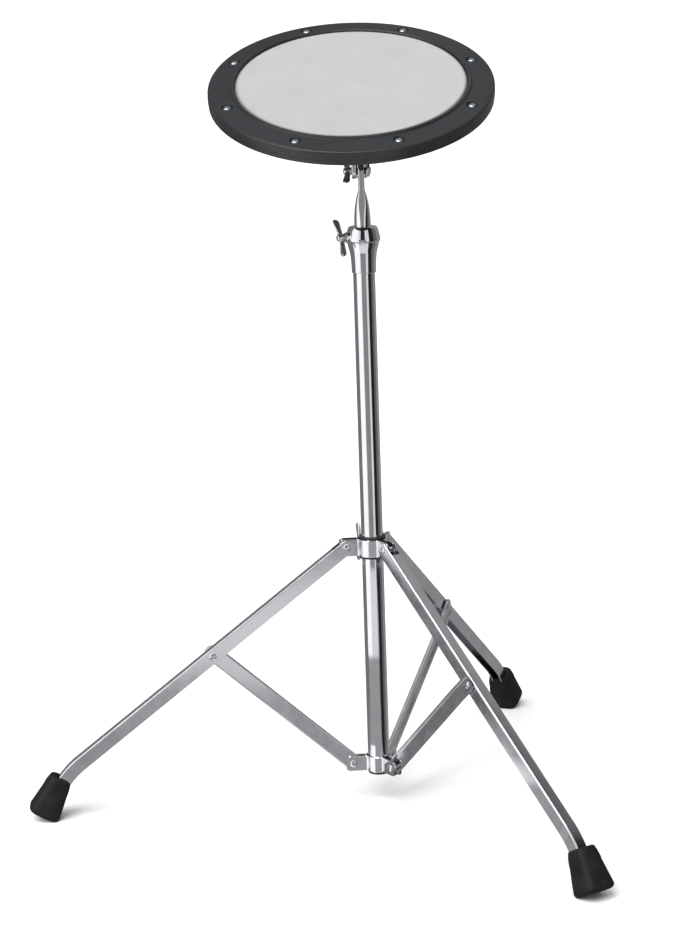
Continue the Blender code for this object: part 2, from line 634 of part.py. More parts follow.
def make_base(head):
    """Moulded base: plate, bearing edge, screw bosses and a hub for the threaded insert."""
    edge = PAD_RADIUS - RIM_WALL - GAP
    bearing_outer = FILM_RADIUS - FILM - GAP
    bearing_inner = bearing_outer - BEARING_WIDTH
    bearing_top = -FILM - GAP
    bore = INSERT_RADIUS + GAP
    profile = [(bore, BASE_TOP + HUB_HEIGHT), (HUB_RADIUS, BASE_TOP + HUB_HEIGHT), (HUB_RADIUS, BASE_TOP),
               (bearing_inner, BASE_TOP), (bearing_inner, bearing_top),
               (bearing_inner + 2.2 * MM, bearing_top), (bearing_outer, bearing_top - BEARING_CHAMFER),
               (bearing_outer, BASE_TOP), (edge, BASE_TOP), (edge, BASE_BOTTOM), (bore, BASE_BOTTOM)]
    base = turned("pad_base", profile, head, "black_plastic", segments=RIM_SEGMENTS)
    boss_top = RIM_UNDERSIDE - 2 * MM
    for number, spot, _ in screw_places():
        boss = rod(f"boss_{number}", SCREW_BOSS_RADIUS, BASE_TOP - MM, boss_top, head, location=spot,
                   segments=HOLE_SEGMENTS)
        hole = rod(f"base_hole_{number}", SCREW_RADIUS + GAP, BASE_BOTTOM - OVERSHOOT, 0, head,
                   location=spot, segments=HOLE_SEGMENTS)
        fuse(base, boss)
        cut(base, hole)


def make_foam(head):
    radius = FILM_RADIUS - FILM - GAP - BEARING_WIDTH - GAP
    pocket = HUB_RADIUS + GAP
    roof = BASE_TOP + HUB_HEIGHT + GAP
    turned("foam_disc", [(0, -FILM - GAP), (radius, -FILM - GAP), (radius, BASE_TOP + GAP),
                         (pocket, BASE_TOP + GAP), (pocket, roof), (0, roof)], head, "foam",
           segments=RIM_SEGMENTS, closed=False)


def make_tension_screws(head):
    """Pan head screws that draw the rim down; the cross recess is cut in each head."""
    under = RECESS_FLOOR + GAP
    top = under + SCREW_HEAD_HEIGHT
    r = SCREW_HEAD_RADIUS
    profile = [(0, top), (0.55 * r, top), (0.85 * r, top - 0.7 * MM), (r, top - 1.7 * MM), (r, under),
               (SCREW_RADIUS, under), (SCREW_RADIUS, under - SCREW_LENGTH), (0, under - SCREW_LENGTH)]
    for number, spot, angle in screw_places():
        screw = turned(f"tension_screw_{number}", profile, head, "zinc_steel", location=spot,
                       rotation=(0, 0, angle), segments=HOLE_SEGMENTS, closed=False)
        for way in (0, 1):
            half = (SLOT_LENGTH / 2, SLOT_WIDTH / 2) if way else (SLOT_WIDTH / 2, SLOT_LENGTH / 2)
            slot = box(f"slot_{number}_{way}", (-half[0], -half[1], top - SLOT_DEPTH),
                       (half[0], half[1], top + MM), head, location=spot, rotation=(0, 0, angle))
            cut(screw, slot)


def make_pad_mount(head):
    """Threaded insert in the base, and the washer and nut that lock the stem in it."""
    bore = STEM_RADIUS + GAP
    bottom = BASE_BOTTOM - GAP
    turned("mount_insert", [(INSERT_RADIUS, BASE_TOP + HUB_HEIGHT), (INSERT_RADIUS, bottom),
                            (INSERT_FLANGE_RADIUS, bottom), (INSERT_FLANGE_RADIUS, bottom - INSERT_FLANGE),
                            (bore, bottom - INSERT_FLANGE), (bore, BASE_TOP + HUB_HEIGHT)],
           head, "brass")
    washer_end = bottom - INSERT_FLANGE - GAP
    washer_start = washer_end - WASHER_THICKNESS
    washer("lock_washer", bore, INSERT_FLANGE_RADIUS, WASHER_THICKNESS, washer_start, head, "zinc_steel")
    nut_end = washer_start - GAP
    nut = rod("lock_nut", LOCK_NUT_RADIUS, nut_end - LOCK_NUT_HEIGHT, nut_end, head, "zinc_steel",
              segments=6)
    hole = rod("lock_nut_hole", bore, -PAD_ABOVE_HINGE / 2, 0, head, segments=HOLE_SEGMENTS)
    cut(nut, hole)
    turned("rubber_ring", [(RUBBER_OUTER, bottom), (RUBBER_OUTER, bottom - RUBBER_THICKNESS),
                           (RUBBER_INNER, bottom - RUBBER_THICKNESS), (RUBBER_INNER, bottom)],
           head, "rubber", segments=RIM_SEGMENTS)


# Tripod ------------------------------------------------------------------------------------------

def plate_path(band):
    """Plan of one pressed plate, symmetric about X: it wraps the tube between two legs and ends in
    an ear beside each. band is the radius of the sheet's middle."""
    reach = sqrt((band + PLATE_BEND) ** 2 - (EAR_OFFSET + PLATE_BEND) ** 2)
    along = Vector((cos(pi / 3), sin(pi / 3)))
    across = Vector((-sin(pi / 3), cos(pi / 3)))
    centre = along * reach - across * (EAR_OFFSET + PLATE_BEND)
    turn_end = atan2(centre.y, centre.x)
    upper = [tuple(along * (PIVOT_RADIUS + EAR_LENGTH) - across * EAR_OFFSET)]
    upper += arc(centre, PLATE_BEND, pi / 3 + pi / 2, turn_end + pi, 4)
    wrap = arc((0, 0), band, turn_end, -turn_end, 8)
    lower = [(x, -y) for x, y in reversed(upper)]
    return upper + wrap[1:-1] + lower


def make_plates(prefix, band, low, high, root, holes):
    """Three plates around the column, with a rivet hole through each ear."""
    middle = (low + high) / 2
    for number, azimuth in enumerate(LEG_AZIMUTHS.values(), start=1):
        mesh = bpy.data.meshes.new(f"{prefix}_{number}")
        shape = bmesh.new()
        row = [shape.verts.new((x, y, low - middle)) for x, y in plate_path(band)]
        edges = [shape.edges.new((a, b)) for a, b in zip(row, row[1:])]
        grown = bmesh.ops.extrude_edge_only(shape, edges=edges)["geom"]
        top = [item for item in grown if isinstance(item, bmesh.types.BMVert)]
        bmesh.ops.translate(shape, vec=(0, 0, high - low), verts=top)
        shape.to_mesh(mesh)
        shape.free()
        plate = bpy.data.objects.new(f"{prefix}_{number}", mesh)
        place(plate, root, (0, 0, middle), (0, 0, azimuth + pi / 3), "zinc_steel")
        thicken(plate, PLATE_SHEET, 0)
        bake(plate)
        cut(plate, *holes)


def thicken(obj, thickness, offset):
    modifier = obj.modifiers.new("sheet", "SOLIDIFY")
    modifier.thickness = thickness
    modifier.offset = offset
    modifier.use_even_offset = True


def make_liner(root):
    """Plastic sleeve that lets the upper bracket slide on the tube."""
    bore = TUBE_RADIUS + GAP
    outer = bore + LINER_WALL
    high = BRACKET_SPACING - SLIDE_PLATE_DROP + SLIDE_PLATE_HEIGHT / 2 + LINER_PROUD
    low = BRACKET_SPACING - SLIDE_PLATE_DROP - SLIDE_PLATE_HEIGHT / 2 - LINER_PROUD
    return turned("slide_liner", [(outer - 0.6 * MM, high), (outer, high - 0.6 * MM), (outer, low + 0.6 * MM),
                                  (outer - 0.6 * MM, low), (bore, low), (bore, high)], root, "black_plastic")


def make_brackets(root, screw_frame):
    """The fixed base bracket, and the upper bracket that slides to fold the legs."""
    base_holes = []
    slide_holes = []
    for name, azimuth in LEG_AZIMUTHS.items():
        spot = Vector((PIVOT_RADIUS * cos(azimuth), PIVOT_RADIUS * sin(azimuth), 0))
        across = (pi / 2, 0, azimuth)
        base_holes.append(rod(f"base_hole_{name}", RIVET_RADIUS + GAP, -LEG_WIDTH, LEG_WIDTH, root,
                              location=spot, rotation=across, segments=HOLE_SEGMENTS))
        spot.z = BRACKET_SPACING
        slide_holes.append(rod(f"slide_hole_{name}", RIVET_RADIUS + GAP, -LEG_WIDTH, LEG_WIDTH, root,
                               location=spot, rotation=across, segments=HOLE_SEGMENTS))
    half = BASE_PLATE_HEIGHT / 2
    make_plates("base_plate", TUBE_RADIUS + GAP + PLATE_SHEET / 2, -half, half, root, base_holes)
    liner = make_liner(root)
    band = TUBE_RADIUS + 2 * GAP + LINER_WALL + PLATE_SHEET / 2
    half = SLIDE_PLATE_HEIGHT / 2
    middle = BRACKET_SPACING - SLIDE_PLATE_DROP
    start = band + PLATE_SHEET / 2 - MM
    boss = rod("slide_boss", SLIDE_BOSS_RADIUS, start, start + SLIDE_BOSS_LENGTH, screw_frame,
               rotation=(0, pi / 2, 0))
    screw_hole = rod("slide_screw_hole", WING_SCREW_RADIUS + GAP, 0, start + 2 * SLIDE_BOSS_LENGTH,
                     screw_frame, rotation=(0, pi / 2, 0), segments=HOLE_SEGMENTS)
    make_plates("slide_plate", band, middle - half, middle + half, root, slide_holes)
    clamp_plate = bpy.data.objects["slide_plate_3"]
    fuse(clamp_plate, boss)
    cut(clamp_plate, screw_hole)
    cut(liner, screw_hole)
    return start + SLIDE_BOSS_LENGTH


def rivet_profile(half, far=None):
    """A rivet along Z with a domed head at +half, and another at -far or a plain end."""
    head = [(0, half + RIVET_HEAD_HEIGHT), (0.55 * RIVET_HEAD_RADIUS, half + 0.8 * RIVET_HEAD_HEIGHT),
            (RIVET_HEAD_RADIUS, half + 0.2 * MM), (RIVET_HEAD_RADIUS, half + 0.02 * MM),
            (RIVET_RADIUS, half + 0.02 * MM)]
    if far is None:
        return head + [(r, -z) for r, z in reversed(head)]
    return head + [(RIVET_RADIUS, -far), (0, -far)]


def make_rivet(name, profile, parent, location, azimuth):
    """A rivet whose +Z end is on the counter-clockwise side of the leg."""
    return turned(name, profile, parent, "zinc_steel", location=location,
                  rotation=(-pi / 2, 0, azimuth), segments=HOLE_SEGMENTS, closed=False)


def channel_profile(width, height, corner, steps=2):
    """Middle of a channel's sheet in (y, z): open towards -Z, web on top."""
    y = width / 2
    z = height / 2
    points = [(y, -z)]
    points += arc((y - corner, z - corner), corner, 0, pi / 2, steps)
    points += [(-a, b) for a, b in reversed(points)]
    return points


def swept_channel(name, start, straight):
    """Open channel surface: straight along X, then bent down by the bend angle, then straight."""
    mesh = bpy.data.meshes.new(name)
    shape = bmesh.new()
    profile = channel_profile(LEG_WIDTH - LEG_SHEET, LEG_HEIGHT - LEG_SHEET / 2, LEG_CORNER)
    drop = LEG_SHEET / 4
    row = [shape.verts.new((start, y, z - drop)) for y, z in profile]
    edges = [shape.edges.new((a, b)) for a, b in zip(row, row[1:])]
    edges = extrude_edges(shape, edges, Vector((straight - start, 0, 0)))
    spun = bmesh.ops.spin(shape, geom=edges, cent=(straight, 0, -BEND_RADIUS), axis=(0, 1, 0),
                          angle=BEND_ANGLE, steps=4, use_merge=False, use_duplicate=False)
    edges = [item for item in spun["geom_last"] if isinstance(item, bmesh.types.BMEdge)]
    end = Vector((cos(BEND_ANGLE), 0, -sin(BEND_ANGLE))) * (LEG_END - BEND_TANGENT)
    extrude_edges(shape, edges, end)
    bmesh.ops.recalc_face_normals(shape, faces=shape.faces)
    shape.to_mesh(mesh)
    shape.free()
    return mesh


def extrude_edges(shape, edges, vector):
    grown = bmesh.ops.extrude_edge_only(shape, edges=edges)["geom"]
    bmesh.ops.translate(shape, vec=vector, verts=[v for v in grown if isinstance(v, bmesh.types.BMVert)])
    return [item for item in grown if isinstance(item, bmesh.types.BMEdge)
            and all(v in grown for v in item.verts)]


def end_cutter(name, radius, frame, location=(0, 0, 0), flip=1):
    """What lies outside a rounded end: beyond X = 0 but outside the radius, in the XZ plane."""
    far = 3 * radius
    outline = [(0, -far), (0, -radius)]
    outline += [(-x, y) for x, y in arc((0, 0), radius, -pi / 2, pi / 2, 12)][1:]
    outline += [(0, far), (-far, far), (-far, -far)]
    outline = [(flip * x, y) for x, y in (outline if flip > 0 else outline[::-1])]
    return slab(name, outline, 4 * LEG_WIDTH, frame, location=location, rotation=(pi / 2, 0, 0))


def make_leg(name, slide):
    """Leg: a sheet channel from its pivot to the rubber foot, with its knee rivet."""
    azimuth = LEG_AZIMUTHS[name]
    pivot = (PIVOT_RADIUS * cos(azimuth), PIVOT_RADIUS * sin(azimuth), BRACKET_SPACING)
    frame = empty(f"leg_{name}_hinge", slide, pivot, (0, pi / 2 - LEG_LEAN, azimuth))
    leg = bpy.data.objects.new(f"leg_{name}", swept_channel(f"leg_{name}", -LEG_HEIGHT / 2,
                                                            LEG_STRAIGHT - BEND_TANGENT))
    place(leg, frame, (0, 0, 0), (0, 0, 0), "zinc_steel")
    thicken(leg, LEG_SHEET, 0)
    bake(leg)
    rounding = end_cutter(f"leg_{name}_end", LEG_HEIGHT / 2, frame)
    web = box(f"leg_{name}_web", (-LEG_HEIGHT, LEG_SHEET - LEG_WIDTH / 2, LEG_HEIGHT / 2 - LEG_CORNER - MM),
              (WEB_CUT_BACK, LEG_WIDTH / 2 - LEG_SHEET, LEG_HEIGHT), frame)
    holes = [rod(f"leg_{name}_hole_{i}", RIVET_RADIUS + GAP, -LEG_WIDTH, LEG_WIDTH, frame,
                 location=(x, 0, 0), rotation=(pi / 2, 0, 0), segments=HOLE_SEGMENTS)
             for i, x in enumerate((0, KNEE_ON_LEG))]
    cut(leg, rounding, web, *holes)
    half = LEG_WIDTH / 2
    make_rivet(f"leg_pivot_rivet_{name}", rivet_profile(half), slide, pivot, azimuth)
    turned(f"knee_rivet_{name}", rivet_profile(half, half - 0.1 * MM), frame, "zinc_steel",
           location=(KNEE_ON_LEG, 0, 0), rotation=(-pi / 2, 0, 0), segments=HOLE_SEGMENTS, closed=False)
    make_boot(name, frame)


def make_boot(name, frame):
    """Rubber foot: a rounded cone over the bent end of the leg, flat where it stands."""
    corner = empty(f"boot_{name}_frame", frame, (LEG_STRAIGHT, 0, 0), (0, BEND_ANGLE, 0))
    c = BOOT_ROUNDING
    profile = [(0, 0), (BOOT_TOP_RADIUS - c, 0)]
    profile += [(BOOT_TOP_RADIUS - c + c * sin(a), -c * (1 - cos(a))) for a in (pi / 6, pi / 3, pi / 2)]
    lower = BOOT_BOTTOM_RADIUS - c
    profile += [(lower + c * cos(a), c - BOOT_LENGTH - c * sin(a)) for a in (0, pi / 6, pi / 3, pi / 2)]
    profile += [(0, -BOOT_LENGTH - BOOT_CROWN)]
    boot = turned(f"foot_{name}", profile, corner, "rubber", location=(BOOT_MOUTH, 0, BOOT_SHIFT),
                  rotation=(0, -pi / 2, 0), closed=False)
    half = LEG_WIDTH / 2 + GAP
    bend_room = (BEND_TANGENT - BOOT_MOUTH) ** 2 / (2 * BEND_RADIUS) + 2 * GAP
    pocket = box(f"boot_{name}_pocket", (0, -half, -LEG_HEIGHT / 2 - GAP - bend_room),
                 (LEG_END + GAP, half, LEG_HEIGHT / 2 + GAP), corner)
    bpy.context.view_layer.update()
    floor = box(f"boot_{name}_floor", (-BOOT_LENGTH, -BOOT_LENGTH, -BOOT_LENGTH),
                (BOOT_LENGTH, BOOT_LENGTH, 0), None,
                location=(corner.matrix_world @ Vector((BOOT_MOUTH + BOOT_LENGTH, 0, 0))).xy.to_3d()
                + Vector((0, 0, lowest_point(boot) + BOOT_TREAD_CUT)))
    floor.parent = FLOOR_CARRIER
    cut(boot, pocket, floor)


def lowest_point(obj):
    return min((obj.matrix_world @ vertex.co).z for vertex in obj.data.vertices)


def make_strut(name, column):
    """Strut: a shallow channel, joggled from between the bracket's ears to beside the leg, on its
    clockwise side."""
    azimuth = LEG_AZIMUTHS[name]
    pivot = (PIVOT_RADIUS * cos(azimuth), PIVOT_RADIUS * sin(azimuth), 0)
    frame = empty(f"strut_{name}_hinge", column, pivot, (0, STRUT_LEAN - pi / 2, azimuth))
    inner_face = STRUT_DEPTH / 2
    joggle = inner_face + LEG_WIDTH / 2 + KNEE_CLEARANCE
    end = STRUT_WIDTH / 2 + ROUNDING_SLACK
    mesh = bpy.data.meshes.new(f"strut_{name}")
    shape = bmesh.new()
    half = STRUT_WIDTH / 2 - STRUT_SHEET / 2
    face = inner_face - STRUT_SHEET / 2
    flange = inner_face - STRUT_DEPTH
    profile = [(flange, -half), (face, -half), (face, half), (flange, half)]
    row = [shape.verts.new((-STRUT_WIDTH, y, z)) for y, z in profile]
    edges = [shape.edges.new((a, b)) for a, b in zip(row, row[1:])]
    edges = extrude_edges(shape, edges, Vector((STRUT_WIDTH + JOGGLE_START, 0, 0)))
    edges = extrude_edges(shape, edges, Vector((JOGGLE_END - JOGGLE_START, -joggle, 0)))
    extrude_edges(shape, edges, Vector((STRUT_LENGTH + STRUT_WIDTH - JOGGLE_END, 0, 0)))
    bmesh.ops.recalc_face_normals(shape, faces=shape.faces)
    shape.to_mesh(mesh)
    shape.free()
    strut = bpy.data.objects.new(f"strut_{name}", mesh)
    place(strut, frame, (0, 0, 0), (0, 0, 0), "zinc_steel")
    thicken(strut, STRUT_SHEET, 0)
    bake(strut)
    near = end_cutter(f"strut_{name}_near", end, frame)
    far = end_cutter(f"strut_{name}_far", end, frame, (STRUT_LENGTH, 0, 0), -1)
    hole = rod(f"strut_{name}_hole", RIVET_RADIUS + 2 * GAP, -LEG_WIDTH, LEG_WIDTH, frame,
               rotation=(pi / 2, 0, 0), segments=HOLE_SEGMENTS)
    head_height = STRUT_SHEET + RIVET_HEAD_HEIGHT
    head = turned(f"strut_{name}_rivet_head",
                  [(0, head_height), (0.55 * RIVET_HEAD_RADIUS, head_height - 0.3 * MM),
                   (RIVET_HEAD_RADIUS, STRUT_SHEET + 0.3 * MM), (RIVET_HEAD_RADIUS, STRUT_SHEET / 2),
                   (0, STRUT_SHEET / 2)], frame,
                  location=(STRUT_LENGTH, inner_face - joggle, 0), rotation=(pi / 2, 0, 0),
                  segments=HOLE_SEGMENTS, closed=False)
    cut(strut, near, far, hole)
    fuse(strut, head)
    make_rivet(f"strut_pivot_rivet_{name}", rivet_profile(EAR_OUTSIDE), column, pivot, azimuth)


# Assembly ----------------------------------------------------------------------------------------

def build():
    root = empty("stand")
    height_screw = empty("height_wing_screw_frame", root, (0, 0, HEIGHT_SCREW_HEIGHT),
                         (0, 0, HEIGHT_SCREW_AZIMUTH))
    make_lower_tube(root)
    make_end_plug(root)
    make_height_clamp(root, height_screw)
    wing_screw("height_wing_screw", height_screw, "dark_steel", MAST_RADIUS + 2 * GAP,
               COLLAR_RADIUS + HEIGHT_BOSS_PROUD + 0.8 * MM, HEIGHT_WING_TURN)

    mast = empty("mast_slide", root)
    make_mast_guide(mast)
    make_upper_tube(mast)
    hinge = empty("tilter_hinge", mast, (0, 0, HINGE_HEIGHT))
    make_tilter(hinge)
    make_tilter_bolt(hinge)

    pad = empty("pad_tilt", hinge, rotation=(PAD_TILT, 0, 0))
    make_stem(pad)
    head = empty("playing_surface", pad, (-STEM_OFFSET, 0, PAD_ABOVE_HINGE))
    make_rim(head)
    make_head(head)
    make_base(head)
    make_foam(head)
    make_tension_screws(head)
    make_pad_mount(head)

    slide = empty("bracket_slide", root)
    clamp_azimuth = LEG_AZIMUTHS["back"] + pi / 3
    slide_screw = empty("slide_wing_screw_frame", slide,
                        (0, 0, BRACKET_SPACING - SLIDE_PLATE_DROP), (0, 0, clamp_azimuth))
    boss_end = make_brackets(slide, slide_screw)
    wing_screw("slide_wing_screw", slide_screw, "dark_steel", TUBE_RADIUS + 2 * GAP, boss_end + GAP, 0)
    for name in LEG_AZIMUTHS:
        make_leg(name, slide)
        make_strut(name, root)
    stand_on_floor(root)


def stand_on_floor(root):
    """Move the whole stand so that the origin is the middle of its footprint, on the floor."""
    bpy.context.view_layer.update()
    depsgraph = bpy.context.evaluated_depsgraph_get()
    corners = []
    for obj in PARTS.objects:
        if obj.type == "MESH":
            mesh = obj.evaluated_get(depsgraph).data
            corners += [obj.matrix_world @ vertex.co for vertex in mesh.vertices]
    low = Vector([min(corner[i] for corner in corners) for i in range(3)])
    high = Vector([max(corner[i] for corner in corners) for i in range(3)])
    shift = Vector((-(low.x + high.x) / 2, -(low.y + high.y) / 2, -low.z))
    root.location = shift
    FLOOR_CARRIER.location = shift
    bpy.context.view_layer.update()


clear_scene()
PARTS = make_collection("practice_pad")
CUTTERS = make_collection("cutters")
make_materials()
FLOOR_CARRIER = empty("floor_carrier")
build()
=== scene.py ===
import json
from math import atan2, cos, hypot, pi, radians, sin, sqrt, tan

import bmesh
import bpy
from mathutils import Matrix, Vector


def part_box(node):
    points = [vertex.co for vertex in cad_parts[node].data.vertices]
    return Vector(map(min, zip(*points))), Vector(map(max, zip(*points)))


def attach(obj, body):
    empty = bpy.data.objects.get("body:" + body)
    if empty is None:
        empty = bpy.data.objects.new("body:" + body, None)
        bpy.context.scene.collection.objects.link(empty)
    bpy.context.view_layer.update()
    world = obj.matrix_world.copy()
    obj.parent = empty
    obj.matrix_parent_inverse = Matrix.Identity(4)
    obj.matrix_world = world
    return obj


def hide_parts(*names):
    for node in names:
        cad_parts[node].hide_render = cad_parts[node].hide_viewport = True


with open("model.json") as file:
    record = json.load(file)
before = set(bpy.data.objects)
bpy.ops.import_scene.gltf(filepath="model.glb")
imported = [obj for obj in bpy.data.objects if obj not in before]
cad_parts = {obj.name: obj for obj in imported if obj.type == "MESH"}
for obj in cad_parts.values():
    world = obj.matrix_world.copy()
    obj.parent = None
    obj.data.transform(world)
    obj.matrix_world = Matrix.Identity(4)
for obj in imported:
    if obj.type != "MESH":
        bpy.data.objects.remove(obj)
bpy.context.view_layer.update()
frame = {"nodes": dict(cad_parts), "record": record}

# Looks of the practice pad and its stand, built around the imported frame. Metres, +Z up.
MM = 0.001
JOINTS = {joint["name"]: joint for joint in frame["record"]["behaviour"]["joints"]}
MOUNTS = {mount["name"]: mount for mount in frame["record"]["mounts"]}
SIDES = ("left", "front", "back")

# Sizes that repeat the CAD's where a node's box can't give them
TUBE_RADIUS = 12.7 * MM
TUBE_WALL = 1.2 * MM
MAST_RADIUS = 9.525 * MM
MAST_WALL = 1.2 * MM
FLAT_THICKNESS = 7.4 * MM
FLAT_WIDTH = 24.0 * MM
NECK_START = 2.0 * MM
NECK_LENGTH = 39.0 * MM
COLLAR_RADIUS = 19.9 * MM
STEM_OFFSET = 8.1 * MM
EYE_RADIUS = 9.0 * MM
EYE_THICKNESS = 4.6 * MM
STEM_RADIUS = 4.0 * MM
PAD_RADIUS = 160.0 * MM
PAD_DEPTH = 18.7 * MM
RIM_WALL = 3.0 * MM
RIDGE_RADIUS = 134.6 * MM
RIDGE_WIDTH = 4.0 * MM
RIDGE_HEIGHT = 1.4 * MM
HEAD_RADIUS = 127.0 * MM
HEAD_COLLAR = 2.4 * MM
FILM = 0.8 * MM
SCREW_CIRCLE = 145.1 * MM
SCREW_PHASE = radians(-70.0)
SCREW_COUNT = 8
RECESS_RADIUS = 6.2 * MM
RECESS_DEPTH = 2.2 * MM
BASE_THICKNESS = 4.4 * MM
LEG_WIDTH = 14.0 * MM
LEG_HEIGHT = 16.5 * MM
LEG_SHEET = 1.5 * MM
LEG_STRAIGHT = 429.2 * MM
LEG_END = 34.0 * MM
FOOT_LEAN = radians(28.0)
BEND_RADIUS = 100.0 * MM
STRUT_WIDTH = 19.0 * MM
STRUT_DEPTH = 4.2 * MM
STRUT_SHEET = 1.6 * MM
KNEE_CLEARANCE = 0.8 * MM
SLANT_START = 14.0 * MM             # from the strut's pivot, clear of the bracket's ears
SLANT_STOP = 22.0 * MM              # from the knee rivet
PIVOT_RADIUS = 30.5 * MM
PLATE_SHEET = 2.0 * MM
EAR_LENGTH = 8.6 * MM
BOOT_LENGTH = 50.0 * MM
BOOT_MOUTH = 6.5 * MM
BOOT_SHIFT = 4.0 * MM
GAP = 0.3 * MM
LINER_WALL = 2.2 * MM
RIVET_SHANK = 2.9 * MM
PLATE_CORNER = 4.6 * MM
BOOT_TOP = 13.4 * MM                # half widths of the rubber feet
BOOT_BOTTOM = 19.4 * MM
ROUND = 128                         # segments round a tube
RIM_ROUND = 288                     # segments round the pad

AXIS = Vector(JOINTS["mast_swivel"]["pos_m"][:2])
COLUMN = Matrix.Translation((AXIS.x, AXIS.y, 0))
HINGE = Matrix.Translation(JOINTS["pad_tilt"]["pos_m"])
Z_TO_X = Matrix.Rotation(pi / 2, 4, "Y")
Z_TO_Y = Matrix.Rotation(-pi / 2, 4, "X")
Y_TO_Z = Matrix.Rotation(pi / 2, 4, "X")


# Mesh helpers ------------------------------------------------------------------------------------

def arc(centre, radius, start, end, steps):
    return [(centre[0] + radius * cos(start + (end - start) * i / steps),
             centre[1] + radius * sin(start + (end - start) * i / steps)) for i in range(steps + 1)]


def fillet(points, radius, steps=4, closed=True):
    """Round the corners of an outline, each by at most radius and by less where a side is short."""
    rounded = []
    count = len(points)
    for i, point in enumerate(points):
        if not closed and i in (0, count - 1):
            rounded.append(point)
            continue
        corner = Vector(point)
        before = Vector(points[i - 1]) - corner
        after = Vector(points[(i + 1) % count]) - corner
        reach = min(radius, before.length * 0.45, after.length * 0.45)
        start = corner + before.normalized() * reach
        end = corner + after.normalized() * reach
        for k in range(steps + 1):
            share = k / steps
            blend = start * (1 - share) ** 2 + corner * (2 * share * (1 - share)) + end * share ** 2
            rounded.append((blend.x, blend.y))
    return rounded


def smooth_line(points, steps=6):
    """A Catmull-Rom curve through the points."""
    padded = [points[0]] + list(points) + [points[-1]]
    line = []
    for a, b, c, d in zip(padded, padded[1:], padded[2:], padded[3:]):
        a, b, c, d = Vector(a), Vector(b), Vector(c), Vector(d)
        for k in range(steps):
            t = k / steps
            spot = 0.5 * (2 * b + (c - a) * t + (2 * a - 5 * b + 4 * c - d) * t ** 2
                          + (3 * b - a - 3 * c + d) * t ** 3)
            line.append(tuple(spot))
    line.append(tuple(points[-1]))
    return line


def mesh_from(shape):
    bmesh.ops.remove_doubles(shape, verts=shape.verts, dist=0.000002)
    bmesh.ops.recalc_face_normals(shape, faces=shape.faces)
    mesh = bpy.data.meshes.new("piece")
    shape.to_mesh(mesh)
    shape.free()
    return mesh


def loft(rings):
    """Skin over rings that have the same number of points."""
    shape = bmesh.new()
    loops = [[shape.verts.new(point) for point in ring] for ring in rings]
    for low, high in zip(loops, loops[1:]):
        for i in range(len(low)):
            j = (i + 1) % len(low)
            shape.faces.new((low[i], low[j], high[j], high[i]))
    shape.faces.new(loops[0][::-1])
    shape.faces.new(loops[-1])
    return mesh_from(shape)


def lathe(profile, segments=ROUND, closed=True):
    """Turn a profile of (radius, height) about Z; an open profile begins and ends on the axis."""
    shape = bmesh.new()
    count = len(profile)
    row = [shape.verts.new((radius, 0, height)) for radius, height in profile]
    edges = [shape.edges.new((row[i], row[i + 1])) for i in range(count - 1)]
    if closed:
        edges.append(shape.edges.new((row[-1], row[0])))
    bmesh.ops.spin(shape, geom=row + edges, cent=(0, 0, 0), axis=(0, 0, 1), angle=2 * pi,
                   steps=segments, use_merge=True, use_duplicate=False)
    return mesh_from(shape)


def ring_profile(outer, inner, high, low):
    return [(outer, high), (outer, low), (inner, low), (inner, high)]


def rod_profile(radius, high, low):
    return [(0, high), (radius, high), (radius, low), (0, low)]


def extrude(outline, low, high):
    """A flat outline in XY, from height low to height high."""
    return loft([[(x, y, low) for x, y in outline], [(x, y, high) for x, y in outline]])


def joined(*meshes):
    shape = bmesh.new()
    for mesh in meshes:
        shape.from_mesh(mesh)
    mesh = bpy.data.meshes.new("joined")
    shape.to_mesh(mesh)
    shape.free()
    return mesh


def moved(mesh, matrix):
    mesh.transform(matrix)
    return mesh


def evaluated(obj):
    """The object's mesh with its modifiers applied."""
    bpy.context.view_layer.update()
    mesh = bpy.data.meshes.new_from_object(obj.evaluated_get(bpy.context.evaluated_depsgraph_get()))
    bpy.data.objects.remove(obj)
    return mesh


def scratch(mesh):
    obj = bpy.data.objects.new(mesh.name, mesh)
    bpy.context.scene.collection.objects.link(obj)
    return obj


def boolean(mesh, *tools):
    """tools are (operation, mesh) pairs."""
    obj = scratch(mesh)
    helpers = []
    for operation, tool in tools:
        helper = scratch(tool)
        modifier = obj.modifiers.new(operation, "BOOLEAN")
        modifier.operation = operation
        modifier.object = helper
        modifier.solver = "EXACT"
        helpers.append(helper)
    result = evaluated(obj)
    for helper in helpers:
        bpy.data.objects.remove(helper)
    return result


def flat_shaded(obj):
    """Weight the normals by area, so that broad faces look flat between their rounded edges."""
    weigh = obj.modifiers.new("normals", "WEIGHTED_NORMAL")
    weigh.mode = "FACE_AREA"
    weigh.weight = 70
    weigh.keep_sharp = True
    name = obj.name
    flat = scratch(evaluated(obj))
    flat.name = name
    return flat


def bevelled(mesh, width=0.3 * MM, segments=2, angle=radians(38)):
    obj = scratch(mesh)
    modifier = obj.modifiers.new("edges", "BEVEL")
    modifier.width = width
    modifier.segments = segments
    modifier.limit_method = "ANGLE"
    modifier.angle_limit = angle
    modifier.use_clamp_overlap = True
    return evaluated(obj)


def cast(mesh):
    """Melt overlapping shapes into one body with the soft inner corners of a casting."""
    obj = scratch(mesh)
    remesh = obj.modifiers.new("skin", "REMESH")
    remesh.mode = "VOXEL"
    remesh.voxel_size = 0.4 * MM
    relax = obj.modifiers.new("relax", "SMOOTH")
    relax.factor = 0.6
    relax.iterations = 8
    return evaluated(obj)


